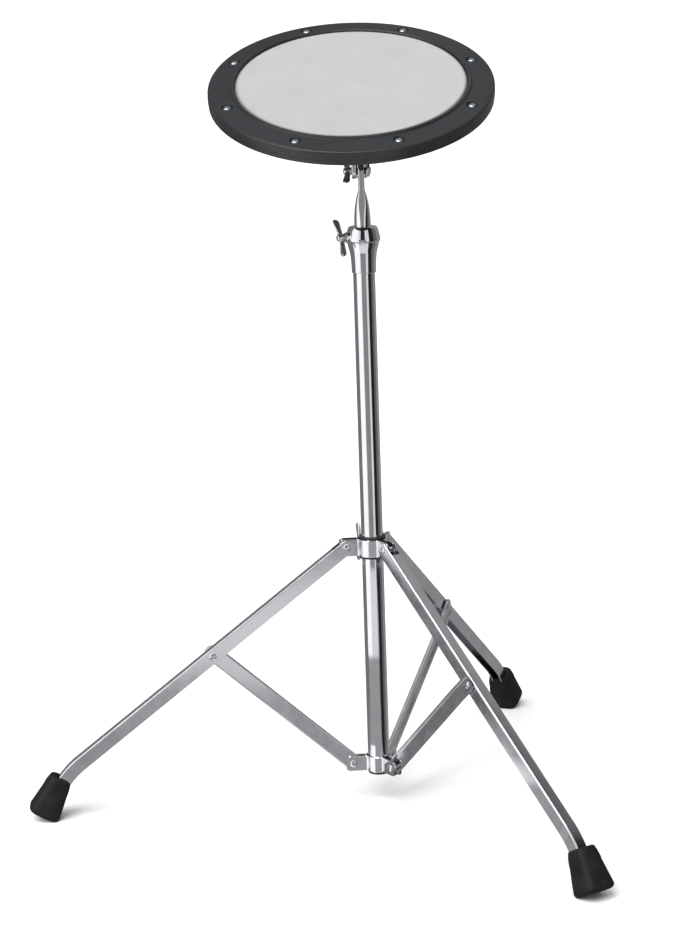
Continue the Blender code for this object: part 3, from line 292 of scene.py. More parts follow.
def show(node, mesh, matrix, body, material, sharp=radians(40)):
    """Put a finished mesh in place as the visible piece for a CAD node. Its vertices are moved into
    the frame, and an attribute keeps where they were in the piece's own frame."""
    own = mesh.attributes.new("own_place", "FLOAT_VECTOR", "POINT")
    for vertex, spot in zip(mesh.vertices, own.data):
        spot.vector = vertex.co
    mesh.transform(matrix)
    obj = scratch(mesh)
    obj.name = "fine_" + node
    mesh.materials.clear()
    mesh.materials.append(material)
    mesh.shade_smooth()
    mesh.set_sharp_from_angle(angle=sharp)
    obj = flat_shaded(obj)
    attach(obj, body)
    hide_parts(node)
    return obj


# Materials ---------------------------------------------------------------------------------------

def set_inputs(node, values):
    for socket, value in values.items():
        node.inputs[socket].default_value = value


def add_node(tree, kind, vector=None, **values):
    """Keywords name the node's inputs, with _ for a space."""
    node = tree.nodes.new(kind)
    set_inputs(node, {socket.replace("_", " "): value for socket, value in values.items()})
    if vector:
        tree.links.new(vector, node.inputs["Vector"])
    return node


def material_base(name, colour, roughness, metallic=0.0):
    material = bpy.data.materials.new(name)
    material.use_nodes = True
    shader = material.node_tree.nodes["Principled BSDF"]
    set_inputs(shader, {"Base Color": (*colour, 1), "Roughness": roughness, "Metallic": metallic})
    return material, material.node_tree, shader


def coordinates(tree, scale=(1, 1, 1), own=True):
    """A piece's own coordinates in metres, or for the CAD's nodes and the floor the frame's."""
    if own:
        source = tree.nodes.new("ShaderNodeAttribute")
        source.attribute_name = "own_place"
        vector = source.outputs["Vector"]
    else:
        vector = tree.nodes.new("ShaderNodeTexCoord").outputs["Object"]
    return add_node(tree, "ShaderNodeMapping", vector, Scale=scale).outputs["Vector"]


def noise(tree, vector, scale, detail=4.0, rough=0.55):
    node = add_node(tree, "ShaderNodeTexNoise", vector, Scale=scale, Detail=detail, Roughness=rough)
    return node.outputs["Fac"]


def spread(tree, value, low, high, start=0.3, end=0.7):
    node = add_node(tree, "ShaderNodeMapRange", From_Min=start, From_Max=end, To_Min=low, To_Max=high)
    tree.links.new(value, node.inputs["Value"])
    return node.outputs["Result"]


def tint(tree, value, dark, light, start=0.3, end=0.7):
    node = tree.nodes.new("ShaderNodeValToRGB")
    node.color_ramp.elements[0].position = start
    node.color_ramp.elements[0].color = (*dark, 1)
    node.color_ramp.elements[1].position = end
    node.color_ramp.elements[1].color = (*light, 1)
    tree.links.new(value, node.inputs["Fac"])
    return node.outputs["Color"]


def bump(tree, shader, height, distance, under=None):
    node = add_node(tree, "ShaderNodeBump", Strength=1.0, Distance=distance)
    tree.links.new(height, node.inputs["Height"])
    if under:
        tree.links.new(under, node.inputs["Normal"])
    tree.links.new(node.outputs["Normal"], shader.inputs["Normal"])
    return node.outputs["Normal"]


def cells(tree, vector, scale):
    return add_node(tree, "ShaderNodeTexVoronoi", vector, Scale=scale).outputs["Distance"]


def colour_over(tree, factor, under, colour):
    """A plain colour laid over another where the factor is high."""
    node = tree.nodes.new("ShaderNodeMix")
    node.data_type = "RGBA"
    node.inputs["B"].default_value = (*colour, 1)
    tree.links.new(factor, node.inputs["Factor"])
    tree.links.new(under, node.inputs["A"])
    return node.outputs["Result"]


def feed(tree, shader, colour=None, roughness=None):
    """Link a material's colour and roughness."""
    if colour:
        tree.links.new(colour, shader.inputs["Base Color"])
    if roughness:
        tree.links.new(roughness, shader.inputs["Roughness"])


def make_chrome(name="bright_chrome", low=0.03, high=0.09, wave=0.00002):
    """Bright plate: almost a mirror, with faint haze, wipe marks and a very slight waviness."""
    material, tree, shader = material_base(name, (0.76, 0.77, 0.79), high, 1.0)
    plain = coordinates(tree)
    haze = noise(tree, plain, 38.0, 5.0, 0.6)
    feed(tree, shader, tint(tree, haze, (0.72, 0.73, 0.75), (0.80, 0.81, 0.82)),
         spread(tree, haze, low, high))
    waves = bump(tree, shader, noise(tree, plain, 60.0, 2.0), wave)
    wipe = noise(tree, coordinates(tree, (1, 1, 0.06)), 2400.0, 2.0)
    bump(tree, shader, wipe, 0.0000012, under=waves)
    return material


def make_plate(name, colour, low, high, grain=0.0000025):
    """Duller plate over rolled sheet: streaks along X, soft mottling, and a painted highlight that lightens
    its convex edges.
    """
    material, tree, shader = material_base(name, colour, high, 1.0)
    mottle = noise(tree, coordinates(tree), 55.0, 6.0, 0.6)
    streak = noise(tree, coordinates(tree, (0.03, 1, 1)), 900.0, 3.0)
    geometry = tree.nodes.new("ShaderNodeNewGeometry")
    # Painted highlight: convex edges, found by pointiness, get a lighter colour laid over the plate
    edge = spread(tree, geometry.outputs["Pointiness"], 0.0, 1.0, 0.5, 0.62)
    mottled = tint(tree, mottle, [0.9 * value for value in colour], [1.08 * value for value in colour])
    feed(tree, shader, colour_over(tree, edge, mottled, (0.84, 0.85, 0.86)),
         spread(tree, mottle, low, high))
    waves = bump(tree, shader, noise(tree, coordinates(tree), 30.0, 2.0), 0.00005)
    bump(tree, shader, streak, grain, under=waves)
    return material


def make_cast():
    """Grey die-cast metal with a fine, slightly pitted skin."""
    material, tree, shader = material_base("grey_cast", (0.72, 0.72, 0.73), 0.3, 1.0)
    grain = noise(tree, coordinates(tree), 420.0, 6.0, 0.65)
    feed(tree, shader, tint(tree, grain, (0.58, 0.58, 0.59), (0.80, 0.80, 0.81)),
         spread(tree, grain, 0.2, 0.4))
    bump(tree, shader, grain, 0.00005)
    return material


def make_moulding(name, dark, light, low, high, grain_size, depth, specular=0.3, own=True):
    """Moulded plastic: a fine spark-eroded grain and a slightly uneven satin."""
    material, tree, shader = material_base(name, light, high)
    shader.inputs["Specular IOR Level"].default_value = specular
    plain = coordinates(tree, own=own)
    cloud = noise(tree, plain, 14.0, 5.0)
    feed(tree, shader, tint(tree, cloud, dark, light), spread(tree, cloud, low, high))
    bump(tree, shader, cells(tree, plain, grain_size), depth)
    return material


def make_rubber():
    """Black rubber, dusty where it is scuffed, with a matt pore texture."""
    material, tree, shader = material_base("black_rubber", (0.012, 0.012, 0.0125), 0.7)
    shader.inputs["Specular IOR Level"].default_value = 0.18
    plain = coordinates(tree)
    dust = noise(tree, plain, 45.0, 8.0, 0.7)
    feed(tree, shader, tint(tree, dust, (0.005, 0.005, 0.0053), (0.014, 0.014, 0.0148), 0.4, 0.75),
         spread(tree, dust, 0.5, 0.75))
    pores = bump(tree, shader, noise(tree, plain, 900.0, 3.0), 0.00006)
    bump(tree, shader, noise(tree, plain, 110.0, 4.0), 0.00012, under=pores)
    return material


def make_film():
    """Coated drum film: a sprayed, sandy white coat, with painted shade that darkens it towards the bearing
    edge, where it is also glossier.
    """
    material, tree, shader = material_base("coated_film", (0.62, 0.62, 0.63), 0.55)
    plain = coordinates(tree)
    reach = tree.nodes.new("ShaderNodeVectorMath")
    reach.operation = "LENGTH"
    tree.links.new(coordinates(tree, (1, 1, 0)), reach.inputs[0])
    # Painted shade: across this span the colour darkens where the film turns down over the bearing edge
    collar_span = (HEAD_RADIUS - 1.5 * MM, HEAD_RADIUS + MM)
    painted_collar_shade = spread(tree, reach.outputs["Value"], 0.0, 1.0, *collar_span)
    coat = tint(tree, noise(tree, plain, 22.0, 6.0), (0.345, 0.345, 0.352), (0.375, 0.375, 0.382))
    feed(tree, shader, colour_over(tree, painted_collar_shade, coat, (0.16, 0.165, 0.17)),
         spread(tree, reach.outputs["Value"], 0.56, 0.22, *collar_span))
    sand = bump(tree, shader, noise(tree, plain, 1500.0, 2.0), 0.00003)
    bump(tree, shader, noise(tree, plain, 300.0, 3.0), 0.00003, under=sand)
    return material


def make_foam():
    """Grey closed-cell foam."""
    material, tree, shader = material_base("closed_cell_foam", (0.1, 0.1, 0.11), 0.9)
    bubbles = cells(tree, coordinates(tree), 900.0)
    feed(tree, shader, tint(tree, bubbles, (0.05, 0.05, 0.055), (0.13, 0.13, 0.14), 0, 0.8))
    bump(tree, shader, bubbles, 0.0003)
    return material


def make_brass():
    """Brass with the faint rings of turning."""
    material, tree, shader = material_base("turned_brass", (0.72, 0.55, 0.26), 0.25, 1.0)
    rings = noise(tree, coordinates(tree, (0.1, 0.1, 1)), 1800.0, 2.0)
    feed(tree, shader, tint(tree, rings, (0.6, 0.44, 0.2), (0.78, 0.6, 0.3)))
    bump(tree, shader, rings, 0.00001)
    return material


CHROME = make_chrome()
POLISHED = make_chrome("polished_plate", 0.07, 0.16, 0.00006)
PLATE = make_plate("dull_plate", (0.68, 0.69, 0.71), 0.12, 0.20)
SCREW_ZINC = make_plate("blue_zinc", (0.34, 0.385, 0.40), 0.22, 0.35)
CAST = make_cast()
RIM_PLASTIC = make_moulding("charcoal_moulding", (0.0135, 0.0145, 0.0165), (0.0175, 0.019, 0.0215),
                            0.28, 0.42, 1400.0, 0.00003, 0.35)
BLACK_PLASTIC = make_moulding("black_moulding", (0.012, 0.012, 0.013), (0.022, 0.022, 0.023), 0.35, 0.55,
                              1800.0, 0.00003)
NYLON = make_moulding("white_nylon", (0.66, 0.65, 0.6), (0.74, 0.73, 0.69), 0.35, 0.5, 1600.0, 0.00002,
                      0.5, own=False)
RUBBER = make_rubber()
FILM_COAT = make_film()
FOAM = make_foam()
BRASS = make_brass()


# Column ------------------------------------------------------------------------------------------

def show_lower_tube():
    low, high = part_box("lower_tube")
    outline = ring_profile(TUBE_RADIUS, TUBE_RADIUS - TUBE_WALL, high.z, low.z)
    show("lower_tube", lathe(fillet(outline, 0.5 * MM)), COLUMN, "column", CHROME)


def show_end_plug():
    low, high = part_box("tube_end_plug")
    body = TUBE_RADIUS - TUBE_WALL - GAP
    shoulder = low.z + 2 * MM
    outline = [(0, high.z), (body, high.z), (body, shoulder), (TUBE_RADIUS, shoulder),
               (TUBE_RADIUS, low.z), (6 * MM, low.z), (4 * MM, low.z + 1.2 * MM), (0, low.z + 1.2 * MM)]
    show("tube_end_plug", lathe(fillet(outline, 0.8 * MM, closed=False), closed=False),
         COLUMN, "column", BLACK_PLASTIC)


def show_collar():
    """Cast and plated collar: a waisted sleeve, a step, and a crowned head with a boss for its screw."""
    low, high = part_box("height_collar")
    top = high.z
    bore = MAST_RADIUS + 2 * GAP
    sleeve = TUBE_RADIUS + GAP
    waist = top - 17.0 * MM
    wide = COLLAR_RADIUS
    crown = smooth_line([(wide - 3.4 * MM, top - 0.9 * MM), (wide - 2.3 * MM, top - 3.5 * MM),
                         (wide - 0.9 * MM, top - 9.0 * MM), (wide, top - 13.5 * MM),
                         (wide, waist + 0.8 * MM)])
    skirt = smooth_line([(wide - 1.3 * MM, waist - 0.6 * MM), (sleeve + 4.4 * MM, waist - 6.0 * MM),
                         (sleeve + 2.6 * MM, waist - 13.0 * MM), (sleeve + 1.5 * MM, waist - 22.0 * MM),
                         (sleeve + 1.15 * MM, low.z + 5 * MM), (sleeve + 1.1 * MM, low.z + 0.4 * MM)])
    outline = [(bore, top - 0.8 * MM), (bore + 0.8 * MM, top)]
    outline += fillet([(bore + MM, top), (wide - 4.6 * MM, top), crown[0]], 1.6 * MM, 5, False)[1:-1]
    outline += crown + [(wide - 0.5 * MM, waist)] + skirt
    outline += [(sleeve + 0.7 * MM, low.z), (sleeve, low.z), (sleeve, waist), (bore, waist + 2 * MM)]
    body = lathe(outline)
    turn = screw_frame("height_screw_turn")
    boss_profile = fillet([(0, wide + 2.4 * MM), (6 * MM, wide + 2.4 * MM), (6.8 * MM, wide - 6 * MM),
                           (0, wide - 6 * MM)], MM, 4, False)
    boss = moved(lathe(boss_profile, 64, closed=False),
                 COLUMN.inverted() @ turn @ Z_TO_X)
    show("height_collar", boolean(body, ("UNION", boss)), COLUMN, "column", CHROME)


def screw_frame(joint):
    """A frame whose +X runs outwards along the joint's axis."""
    x, y, _ = JOINTS[joint]["axis"]
    return Matrix.Translation(JOINTS[joint]["pos_m"]) @ Matrix.Rotation(atan2(y, x), 4, "Z")


# Wing screws -------------------------------------------------------------------------------------

WING_SPAN = 23.0 * MM
WING_ROOT = 2.4 * MM


def wing_blade(side):
    """One wing, lofted from its root in the hub out to a rounded, wider tip."""
    rings = []
    steps = 16
    for i in range(steps + 1):
        share = i / steps
        y = WING_ROOT + (WING_SPAN - WING_ROOT) * share
        centre = 4.4 * MM + 2.4 * MM * share ** 1.4
        width = (3.0 + 1.9 * share) * MM
        thickness = (2.0 - 0.5 * share) * MM
        if share > 0.75:
            close = sqrt(max(1 - ((share - 0.75) / 0.25) ** 2, 0.0004))
            width *= close
            thickness *= 0.5 + 0.5 * close
        rings.append([(centre + width * cos(a), side * y, thickness * sin(a))
                      for a in (2 * pi * k / 24 for k in range(24))])
    return loft(rings)


def wing_mesh(tip, hub, turn):
    """Hub, two wings and the plain pin, in a frame whose +X runs out along the screw."""
    barrel = [(0, hub), (4.2 * MM, hub), (4.9 * MM, hub + 1.4 * MM), (4.5 * MM, hub + 6 * MM),
              (3.6 * MM, hub + 9 * MM), (1.6 * MM, hub + 9.8 * MM), (0, hub + 9.8 * MM)]
    body = moved(lathe(fillet(barrel[::-1], 0.9 * MM, 4, False), 48, closed=False),
                 Z_TO_X)
    wings = [moved(wing_blade(side), Matrix.Translation((hub, 0, 0)) @ Matrix.Rotation(turn, 4, "X"))
             for side in (1, -1)]
    head = cast(joined(body, *wings))
    pin = fillet([(0, hub + MM), (3.9 * MM, hub + MM), (3.9 * MM, tip), (0, tip)], 0.6 * MM, 3, False)
    shank = moved(lathe(pin, 48, closed=False), Z_TO_X)
    return joined(head, shank)


def show_wing_screws():
    """Tip, hub and turn of each of the three, along its own axis."""
    slide_boss_end = TUBE_RADIUS + 2 * GAP + LINER_WALL + PLATE_SHEET + 5 * MM
    nut_end = FLAT_THICKNESS / 2 + 2 * GAP + 1.5 * MM + 4.0 * MM
    for node, matrix, body, tip, hub, turn in (
            ("height_wing_screw", screw_frame("height_screw_turn"), "height_screw", MAST_RADIUS + 2 * GAP,
             COLLAR_RADIUS + 3.2 * MM, radians(28) + pi / 2),
            ("slide_wing_screw", screw_frame("bracket_screw_turn"), "bracket_screw", TUBE_RADIUS + 2 * GAP,
             slide_boss_end + GAP, pi / 2),
            ("tilter_wing_bolt", HINGE @ Matrix.Rotation(pi, 4, "Z"), "tilter_screw", -nut_end - 1.6 * MM,
             STEM_OFFSET + EYE_THICKNESS / 2 + GAP, radians(60) + pi / 2)):
        show(node, wing_mesh(tip, hub, turn), matrix, body, CAST, sharp=radians(60))


# Upper tube and tilter ---------------------------------------------------------------------------

def squared(value, power):
    return abs(value) ** power * (1 if value > 0 else -1)


def flattened(height, half_x, half_y, blend, points=ROUND):
    """A ring between a circle (blend 0) and a slab with rounded edges (blend 1)."""
    power = 1 / (1 + 2.2 * blend)
    ring = []
    for i in range(points):
        angle = 2 * pi * (i + 0.5) / points
        ring.append((half_x * squared(cos(angle), power), half_y * squared(sin(angle), power), height))
    return ring


def show_upper_tube():
    """Chromed tube whose end is pressed flat, with a smooth shoulder and a rounded tip."""
    low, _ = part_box("upper_tube")
    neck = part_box("height_collar")[1].z + NECK_START
    hinge = HINGE.translation.z
    bore = MAST_RADIUS - MAST_WALL
    rings = [flattened(neck - 2 * MM, bore, bore, 0), flattened(low.z, bore, bore, 0),
             flattened(low.z, MAST_RADIUS, MAST_RADIUS, 0), flattened(neck, MAST_RADIUS, MAST_RADIUS, 0)]
    for i in range(1, 25):
        share = i / 24
        blend = share ** 2.3
        rings.append(flattened(neck + NECK_LENGTH * share,
                               MAST_RADIUS + (FLAT_THICKNESS / 2 - MAST_RADIUS) * blend,
                               MAST_RADIUS + (FLAT_WIDTH / 2 - MAST_RADIUS) * blend, blend))
    for i in range(12):
        angle = pi / 2 * i / 12
        thin = 1 - 0.25 * (i / 12) ** 4
        rings.append(flattened(hinge + FLAT_WIDTH / 2 * sin(angle), FLAT_THICKNESS / 2 * thin,
                               FLAT_WIDTH / 2 * cos(angle), 1))
    show("upper_tube", loft(rings), COLUMN, "upper", CHROME)


def pad_frame():
    """Origin on the tilter's bolt, +Z along the pad's normal."""
    normal = Vector(MOUNTS["playing_surface"]["axis"])
    return HINGE @ Matrix.Rotation(atan2(-normal.y, normal.z), 4, "X")


PAD = pad_frame()
FACE = Matrix.Translation(MOUNTS["playing_surface"]["pos_m"]) @ PAD.to_3x3().to_4x4()
PAD_ABOVE_HINGE = (FACE.translation - HINGE.translation).dot(PAD.to_3x3() @ Vector((0, 0, 1)))


def show_stem():
    """Forged stem: a flat eye that swells into a round rod, with a rolled thread near its top."""
    top = PAD_ABOVE_HINGE - PAD_DEPTH + BASE_THICKNESS + 4 * MM
    rings = []
    for i in range(13):
        z = -EYE_RADIUS * cos(pi / 2 * i / 12)
        edge = 0.78 + 0.22 * min(i / 4, 1)
        half_width = sqrt(max(EYE_RADIUS ** 2 - z * z, MM ** 2 / 4))
        rings.append(flattened(z, EYE_THICKNESS / 2 * edge, half_width, 1, 64))
    for i in range(1, 21):
        share = i / 20
        blend = share * share * (3 - 2 * share)
        thick = EYE_THICKNESS / 2 + (STEM_RADIUS - EYE_THICKNESS / 2) * blend
        wide = EYE_RADIUS + (STEM_RADIUS - EYE_RADIUS) * blend
        rings.append(flattened(20 * MM * share, thick, wide, 1 - blend, 64))
    thread_start = PAD_ABOVE_HINGE - PAD_DEPTH - 36 * MM
    rings.append(flattened(thread_start, STEM_RADIUS, STEM_RADIUS, 0, 64))
    pitch = 1.25 * MM
    turns = int((top - thread_start) / pitch)
    for i in range(turns):
        for share, radius in ((0.1, 3.9 * MM), (0.4, 3.35 * MM), (0.6, 3.35 * MM), (0.9, 3.9 * MM)):
            rings.append(flattened(thread_start + pitch * (i + share), radius, radius, 0, 64))
    show("tilter_stem", loft(rings), PAD @ Matrix.Translation((-STEM_OFFSET, 0, 0)), "pad",
         CHROME, sharp=radians(50))


def hex_nut(radius, low, high, bore):
    """Hexagon with the turned chamfers of a real nut."""
    outline = [(radius * cos(pi * k / 3), radius * sin(pi * k / 3)) for k in range(6)]
    prism = extrude(outline, low, high)
    chamfer = 0.9 * MM
    cone = lathe([(0, high), (radius - 1.2 * MM, high), (radius + 0.2 * MM, high - chamfer),
                  (radius + 0.2 * MM, low + chamfer), (radius - 1.2 * MM, low), (0, low)], 96, False)
    hole = lathe(rod_profile(bore, high + MM, low - MM), 64, False)
    return bevelled(boolean(prism, ("INTERSECT", cone), ("DIFFERENCE", hole)), 0.12 * MM)


def show_tilter():
    start = FLAT_THICKNESS / 2 + GAP
    ring = fillet(ring_profile(8.6 * MM, 4.3 * MM, 1.5 * MM, 0), 0.4 * MM)
    for side, turn in (("left", -pi / 2), ("right", pi / 2)):
        matrix = HINGE @ Matrix.Rotation(turn, 4, "Y") @ Matrix.Translation((0, 0, start))
        show(f"tilter_washer_{side}", lathe(ring, 64), matrix, "upper", BLACK_PLASTIC)
    cup = fillet([(8.6 * MM, 1.2 * MM), (8.6 * MM, 0), (4.3 * MM, 0), (4.3 * MM, 1.8 * MM),
                  (6.4 * MM, 1.9 * MM)], 0.5 * MM)
    nut = hex_nut(7.2 * MM, 1.6 * MM, 4.3 * MM, 4.3 * MM)
    matrix = HINGE @ Z_TO_X @ Matrix.Translation((0, 0, start + 1.5 * MM + GAP))
    show("tilter_nut", joined(lathe(cup, 64), nut), matrix, "upper", CHROME)


# Pad ---------------------------------------------------------------------------------------------

def rim_top(radius):
    return -0.6 * MM - 2.4 * MM * (radius - RIDGE_RADIUS) / (PAD_RADIUS - RIDGE_RADIUS)


FILM_RADIUS = HEAD_RADIUS + HEAD_COLLAR
RECESS_FLOOR = rim_top(SCREW_CIRCLE) - RECESS_DEPTH
BASE_BOTTOM = -PAD_DEPTH + 0.5 * MM
BASE_TOP = BASE_BOTTOM + BASE_THICKNESS


def screw_spots():
    for i in range(SCREW_COUNT):
        angle = SCREW_PHASE + 2 * pi * i / SCREW_COUNT
        yield i + 1, Matrix.Translation((SCREW_CIRCLE * cos(angle), SCREW_CIRCLE * sin(angle), 0)), angle


def show_rim():
    """Counter-hoop with its raised ridge, screw recesses with eased edges, and a step in its wall."""
    bore = FILM_RADIUS + GAP
    inner = PAD_RADIUS - RIM_WALL
    under = rim_top(SCREW_CIRCLE) - 5.6 * MM
    lip = bore + 4.2 * MM
    ridge_inner = RIDGE_RADIUS - RIDGE_WIDTH
    ridge = fillet([(ridge_inner - 0.9 * MM, 0.1 * MM), (ridge_inner + 0.2 * MM, RIDGE_HEIGHT),
                    (RIDGE_RADIUS - 0.7 * MM, RIDGE_HEIGHT), (RIDGE_RADIUS, rim_top(RIDGE_RADIUS)),
                    (RIDGE_RADIUS + 4 * MM, rim_top(RIDGE_RADIUS + 4 * MM))], 0.6 * MM, 5, False)
    shoulder = fillet([(SCREW_CIRCLE + 8 * MM, rim_top(SCREW_CIRCLE + 8 * MM)),
                       (PAD_RADIUS - 0.2 * MM, rim_top(PAD_RADIUS) - 0.1 * MM),
                       (PAD_RADIUS, -9 * MM)], 3.4 * MM, 10, False)
    foot = fillet([(PAD_RADIUS, -11 * MM), (PAD_RADIUS, -13.2 * MM), (PAD_RADIUS - 0.5 * MM, -13.5 * MM),
                   (PAD_RADIUS - 0.5 * MM, -PAD_DEPTH), (inner, -PAD_DEPTH), (inner, under + 2 * MM)],
                  0.5 * MM, 4, False)
    outline = ridge + shoulder + foot
    outline += [(inner, under), (lip, under), (lip, -9 * MM), (bore, -9 * MM), (bore, -0.4 * MM)]
    rim = lathe(outline, RIM_ROUND)
    level = rim_top(SCREW_CIRCLE)
    cutter = [(0, RIDGE_HEIGHT), (RECESS_RADIUS + 0.8 * MM, RIDGE_HEIGHT),
              (RECESS_RADIUS + 0.55 * MM, level + 0.25 * MM), (RECESS_RADIUS + 0.2 * MM, level - 0.2 * MM),
              (RECESS_RADIUS, level - 0.6 * MM), (RECESS_RADIUS, RECESS_FLOOR + 0.3 * MM),
              (RECESS_RADIUS - 0.3 * MM, RECESS_FLOOR), (2.7 * MM, RECESS_FLOOR), (2.7 * MM, -PAD_DEPTH),
              (0, -PAD_DEPTH)]
    cutters = joined(*[moved(lathe(cutter, 64, False), spot)
                                   for _, spot, _ in screw_spots()])
    show("pad_rim", boolean(rim, ("DIFFERENCE", cutters)), FACE, "pad", RIM_PLASTIC,
         sharp=radians(32))


def show_head():
    """Film drawn over the bearing edge, dished by a hair, and clamped at its hoop."""
    inside = HEAD_COLLAR - FILM
    outline = [(0, -0.25 * MM), (40 * MM, -0.22 * MM), (90 * MM, -0.1 * MM), (120 * MM, -0.01 * MM)]
    outline += [(HEAD_RADIUS + HEAD_COLLAR * sin(a), -HEAD_COLLAR * (1 - cos(a)))
                for a in (pi / 2 * i / 14 for i in range(15))]
    outline += [(FILM_RADIUS, -12.5 * MM), (HEAD_RADIUS + inside, -12.5 * MM)]
    outline += [(HEAD_RADIUS + inside * sin(a), -HEAD_COLLAR + inside * cos(a))
                for a in (pi / 2 * (1 - i / 8) for i in range(9))]
    outline += [(0, -FILM - 0.25 * MM)]
    show("drumhead", lathe(outline, RIM_ROUND, False), FACE, "pad", FILM_COAT)
    low = -9 * MM - 4.2 * MM
    hoop = fillet(ring_profile(FILM_RADIUS + 4.2 * MM, FILM_RADIUS + GAP, -9.3 * MM, low), 0.8 * MM)
    show("flesh_hoop", lathe(hoop, RIM_ROUND), FACE, "pad", PLATE)


def sector(inner, outer, middle, half_angle):
    """Outline of a ring's sector, with rounded corners."""
    outline = arc((0, 0), outer, middle - half_angle, middle + half_angle, 10)
    outline += arc((0, 0), inner, middle + half_angle, middle - half_angle, 6)
    return fillet(outline, 1.6 * MM, 2)


def show_base():
    """Moulded base, with ribs left standing between shallow pockets underneath."""
    edge = PAD_RADIUS - RIM_WALL - GAP
    wall = FILM_RADIUS - FILM - GAP
    bearing = -FILM - GAP
    bore = 6.8 * MM
    hub_top = BASE_TOP + 6 * MM
    outline = [(bore, hub_top), (15 * MM, hub_top), (15 * MM, BASE_TOP), (wall - 4 * MM, BASE_TOP),
               (wall - 4 * MM, bearing), (wall - 1.8 * MM, bearing), (wall, bearing - 2.4 * MM),
               (wall, BASE_TOP), (edge, BASE_TOP), (edge, BASE_BOTTOM), (bore, BASE_BOTTOM)]
    base = lathe(fillet(outline, 0.5 * MM, 2), RIM_ROUND)
    depth = BASE_BOTTOM + 2.2 * MM
    pockets = []
    for i in range(16):
        middle = SCREW_PHASE + 2 * pi * (i + 0.5) / 16
        pockets.append(extrude(sector(26 * MM, 76 * MM, middle, pi / 16 - 0.045), -PAD_DEPTH - MM,
                               depth))
        pockets.append(extrude(sector(117 * MM, 135 * MM, middle, pi / 16 - 0.014), -PAD_DEPTH - MM,
                               depth))
    spots = [spot for _, spot, _ in screw_spots()]
    bosses = [moved(lathe(rod_profile(6 * MM, -9.6 * MM, BASE_TOP - MM), 48, False), spot) for spot in spots]
    dimples = [moved(lathe([(0, depth), (4.4 * MM, depth), (4.8 * MM, BASE_BOTTOM - MM),
                                      (0, BASE_BOTTOM - MM)], 48, False), spot) for spot in spots]
    base = boolean(base, ("UNION", joined(*bosses)), ("DIFFERENCE", joined(*pockets)),
                   ("DIFFERENCE", joined(*dimples)))
    show("pad_base", base, FACE, "pad", BLACK_PLASTIC, sharp=radians(32))


def show_foam():
    radius = FILM_RADIUS - FILM - 2 * GAP - 4 * MM
    pocket = 15.3 * MM
    roof = BASE_TOP + 6 * MM + GAP
    outline = fillet([(0, -FILM - 2 * GAP), (radius, -FILM - 2 * GAP), (radius, BASE_TOP + GAP),
                      (pocket, BASE_TOP + GAP), (pocket, roof), (0, roof)], 0.6 * MM, 3, False)
    foam = show("foam_disc", lathe(outline, 144, False), FACE, "pad", FOAM)


def screw_mesh():
    """Pan head with a cross recess that narrows as it goes down."""
    under = RECESS_FLOOR + GAP
    top = under + 2.6 * MM
    head = smooth_line([(0.05 * MM, top), (2.2 * MM, top - 0.12 * MM), (3.7 * MM, top - 0.65 * MM),
                        (4.55 * MM, top - 1.6 * MM), (4.7 * MM, under + 0.25 * MM)], 5)
    outline = [(0, top)] + head + [(4.5 * MM, under), (2.4 * MM, under), (2.4 * MM, under - 12.5 * MM),
                                   (0, under - 12.5 * MM)]
    body = lathe(outline, 64, False)
    arms = []
    for turn in (0, pi / 2):
        wide = [(x * 2.5 * MM, y * 0.55 * MM) for x, y in ((-1, -1), (1, -1), (1, 1), (-1, 1))]
        narrow = [(x * 0.35, y * 0.6) for x, y in wide]
        arm = loft([[(x, y, top - 1.7 * MM) for x, y in narrow], [(x, y, top + 0.4 * MM) for x, y in wide]])
        arms.append(moved(arm, Matrix.Rotation(turn, 4, "Z")))
    return boolean(body, ("DIFFERENCE", arms[0]), ("DIFFERENCE", arms[1]))


def show_tension_screws():
    mesh = screw_mesh()
    for number, spot, angle in screw_spots():
        turn = Matrix.Rotation(angle + 0.9 * number, 4, "Z")
        show(f"tension_screw_{number}", mesh.copy(), FACE @ spot @ turn, "pad", SCREW_ZINC,
             sharp=radians(35))


def show_pad_mount():
    under = BASE_BOTTOM - GAP
    outline = fillet([(6.5 * MM, BASE_TOP + 6 * MM), (6.5 * MM, under), (10 * MM, under),
                      (10 * MM, under - 1.4 * MM), (4.3 * MM, under - 1.4 * MM),
                      (4.3 * MM, BASE_TOP + 6 * MM)], 0.4 * MM)
    show("mount_insert", lathe(outline, 64), FACE, "pad", BRASS)
    top = under - 1.4 * MM - GAP
    ring = fillet(ring_profile(10 * MM, 4.3 * MM, top, top - 1.5 * MM), 0.35 * MM)
    show("lock_washer", lathe(ring, 64), FACE, "pad", PLATE)
    nut_top = top - 1.5 * MM - GAP
    show("lock_nut", hex_nut(7.5 * MM, nut_top - 6.5 * MM, nut_top, 4.3 * MM), FACE, "pad", PLATE)
    low = under - 2.2 * MM
    groove = []
    for radius in (104 * MM, 96 * MM, 88 * MM):
        groove += [(radius + 1.2 * MM, low), (radius + 0.7 * MM, low + 0.8 * MM),
                   (radius - 0.7 * MM, low + 0.8 * MM), (radius - 1.2 * MM, low)]
    ring = fillet([(112 * MM, under), (112 * MM, low)] + groove + [(80 * MM, low), (80 * MM, under)],
                  0.4 * MM, 2)
    show("rubber_ring", lathe(ring, 192), FACE, "pad", RUBBER)


# Brackets ----------------------------------------------------------------------------------------

EAR_OUTSIDE = LEG_WIDTH / 2 - LEG_SHEET - GAP
EAR_OFFSET = EAR_OUTSIDE - PLATE_SHEET / 2


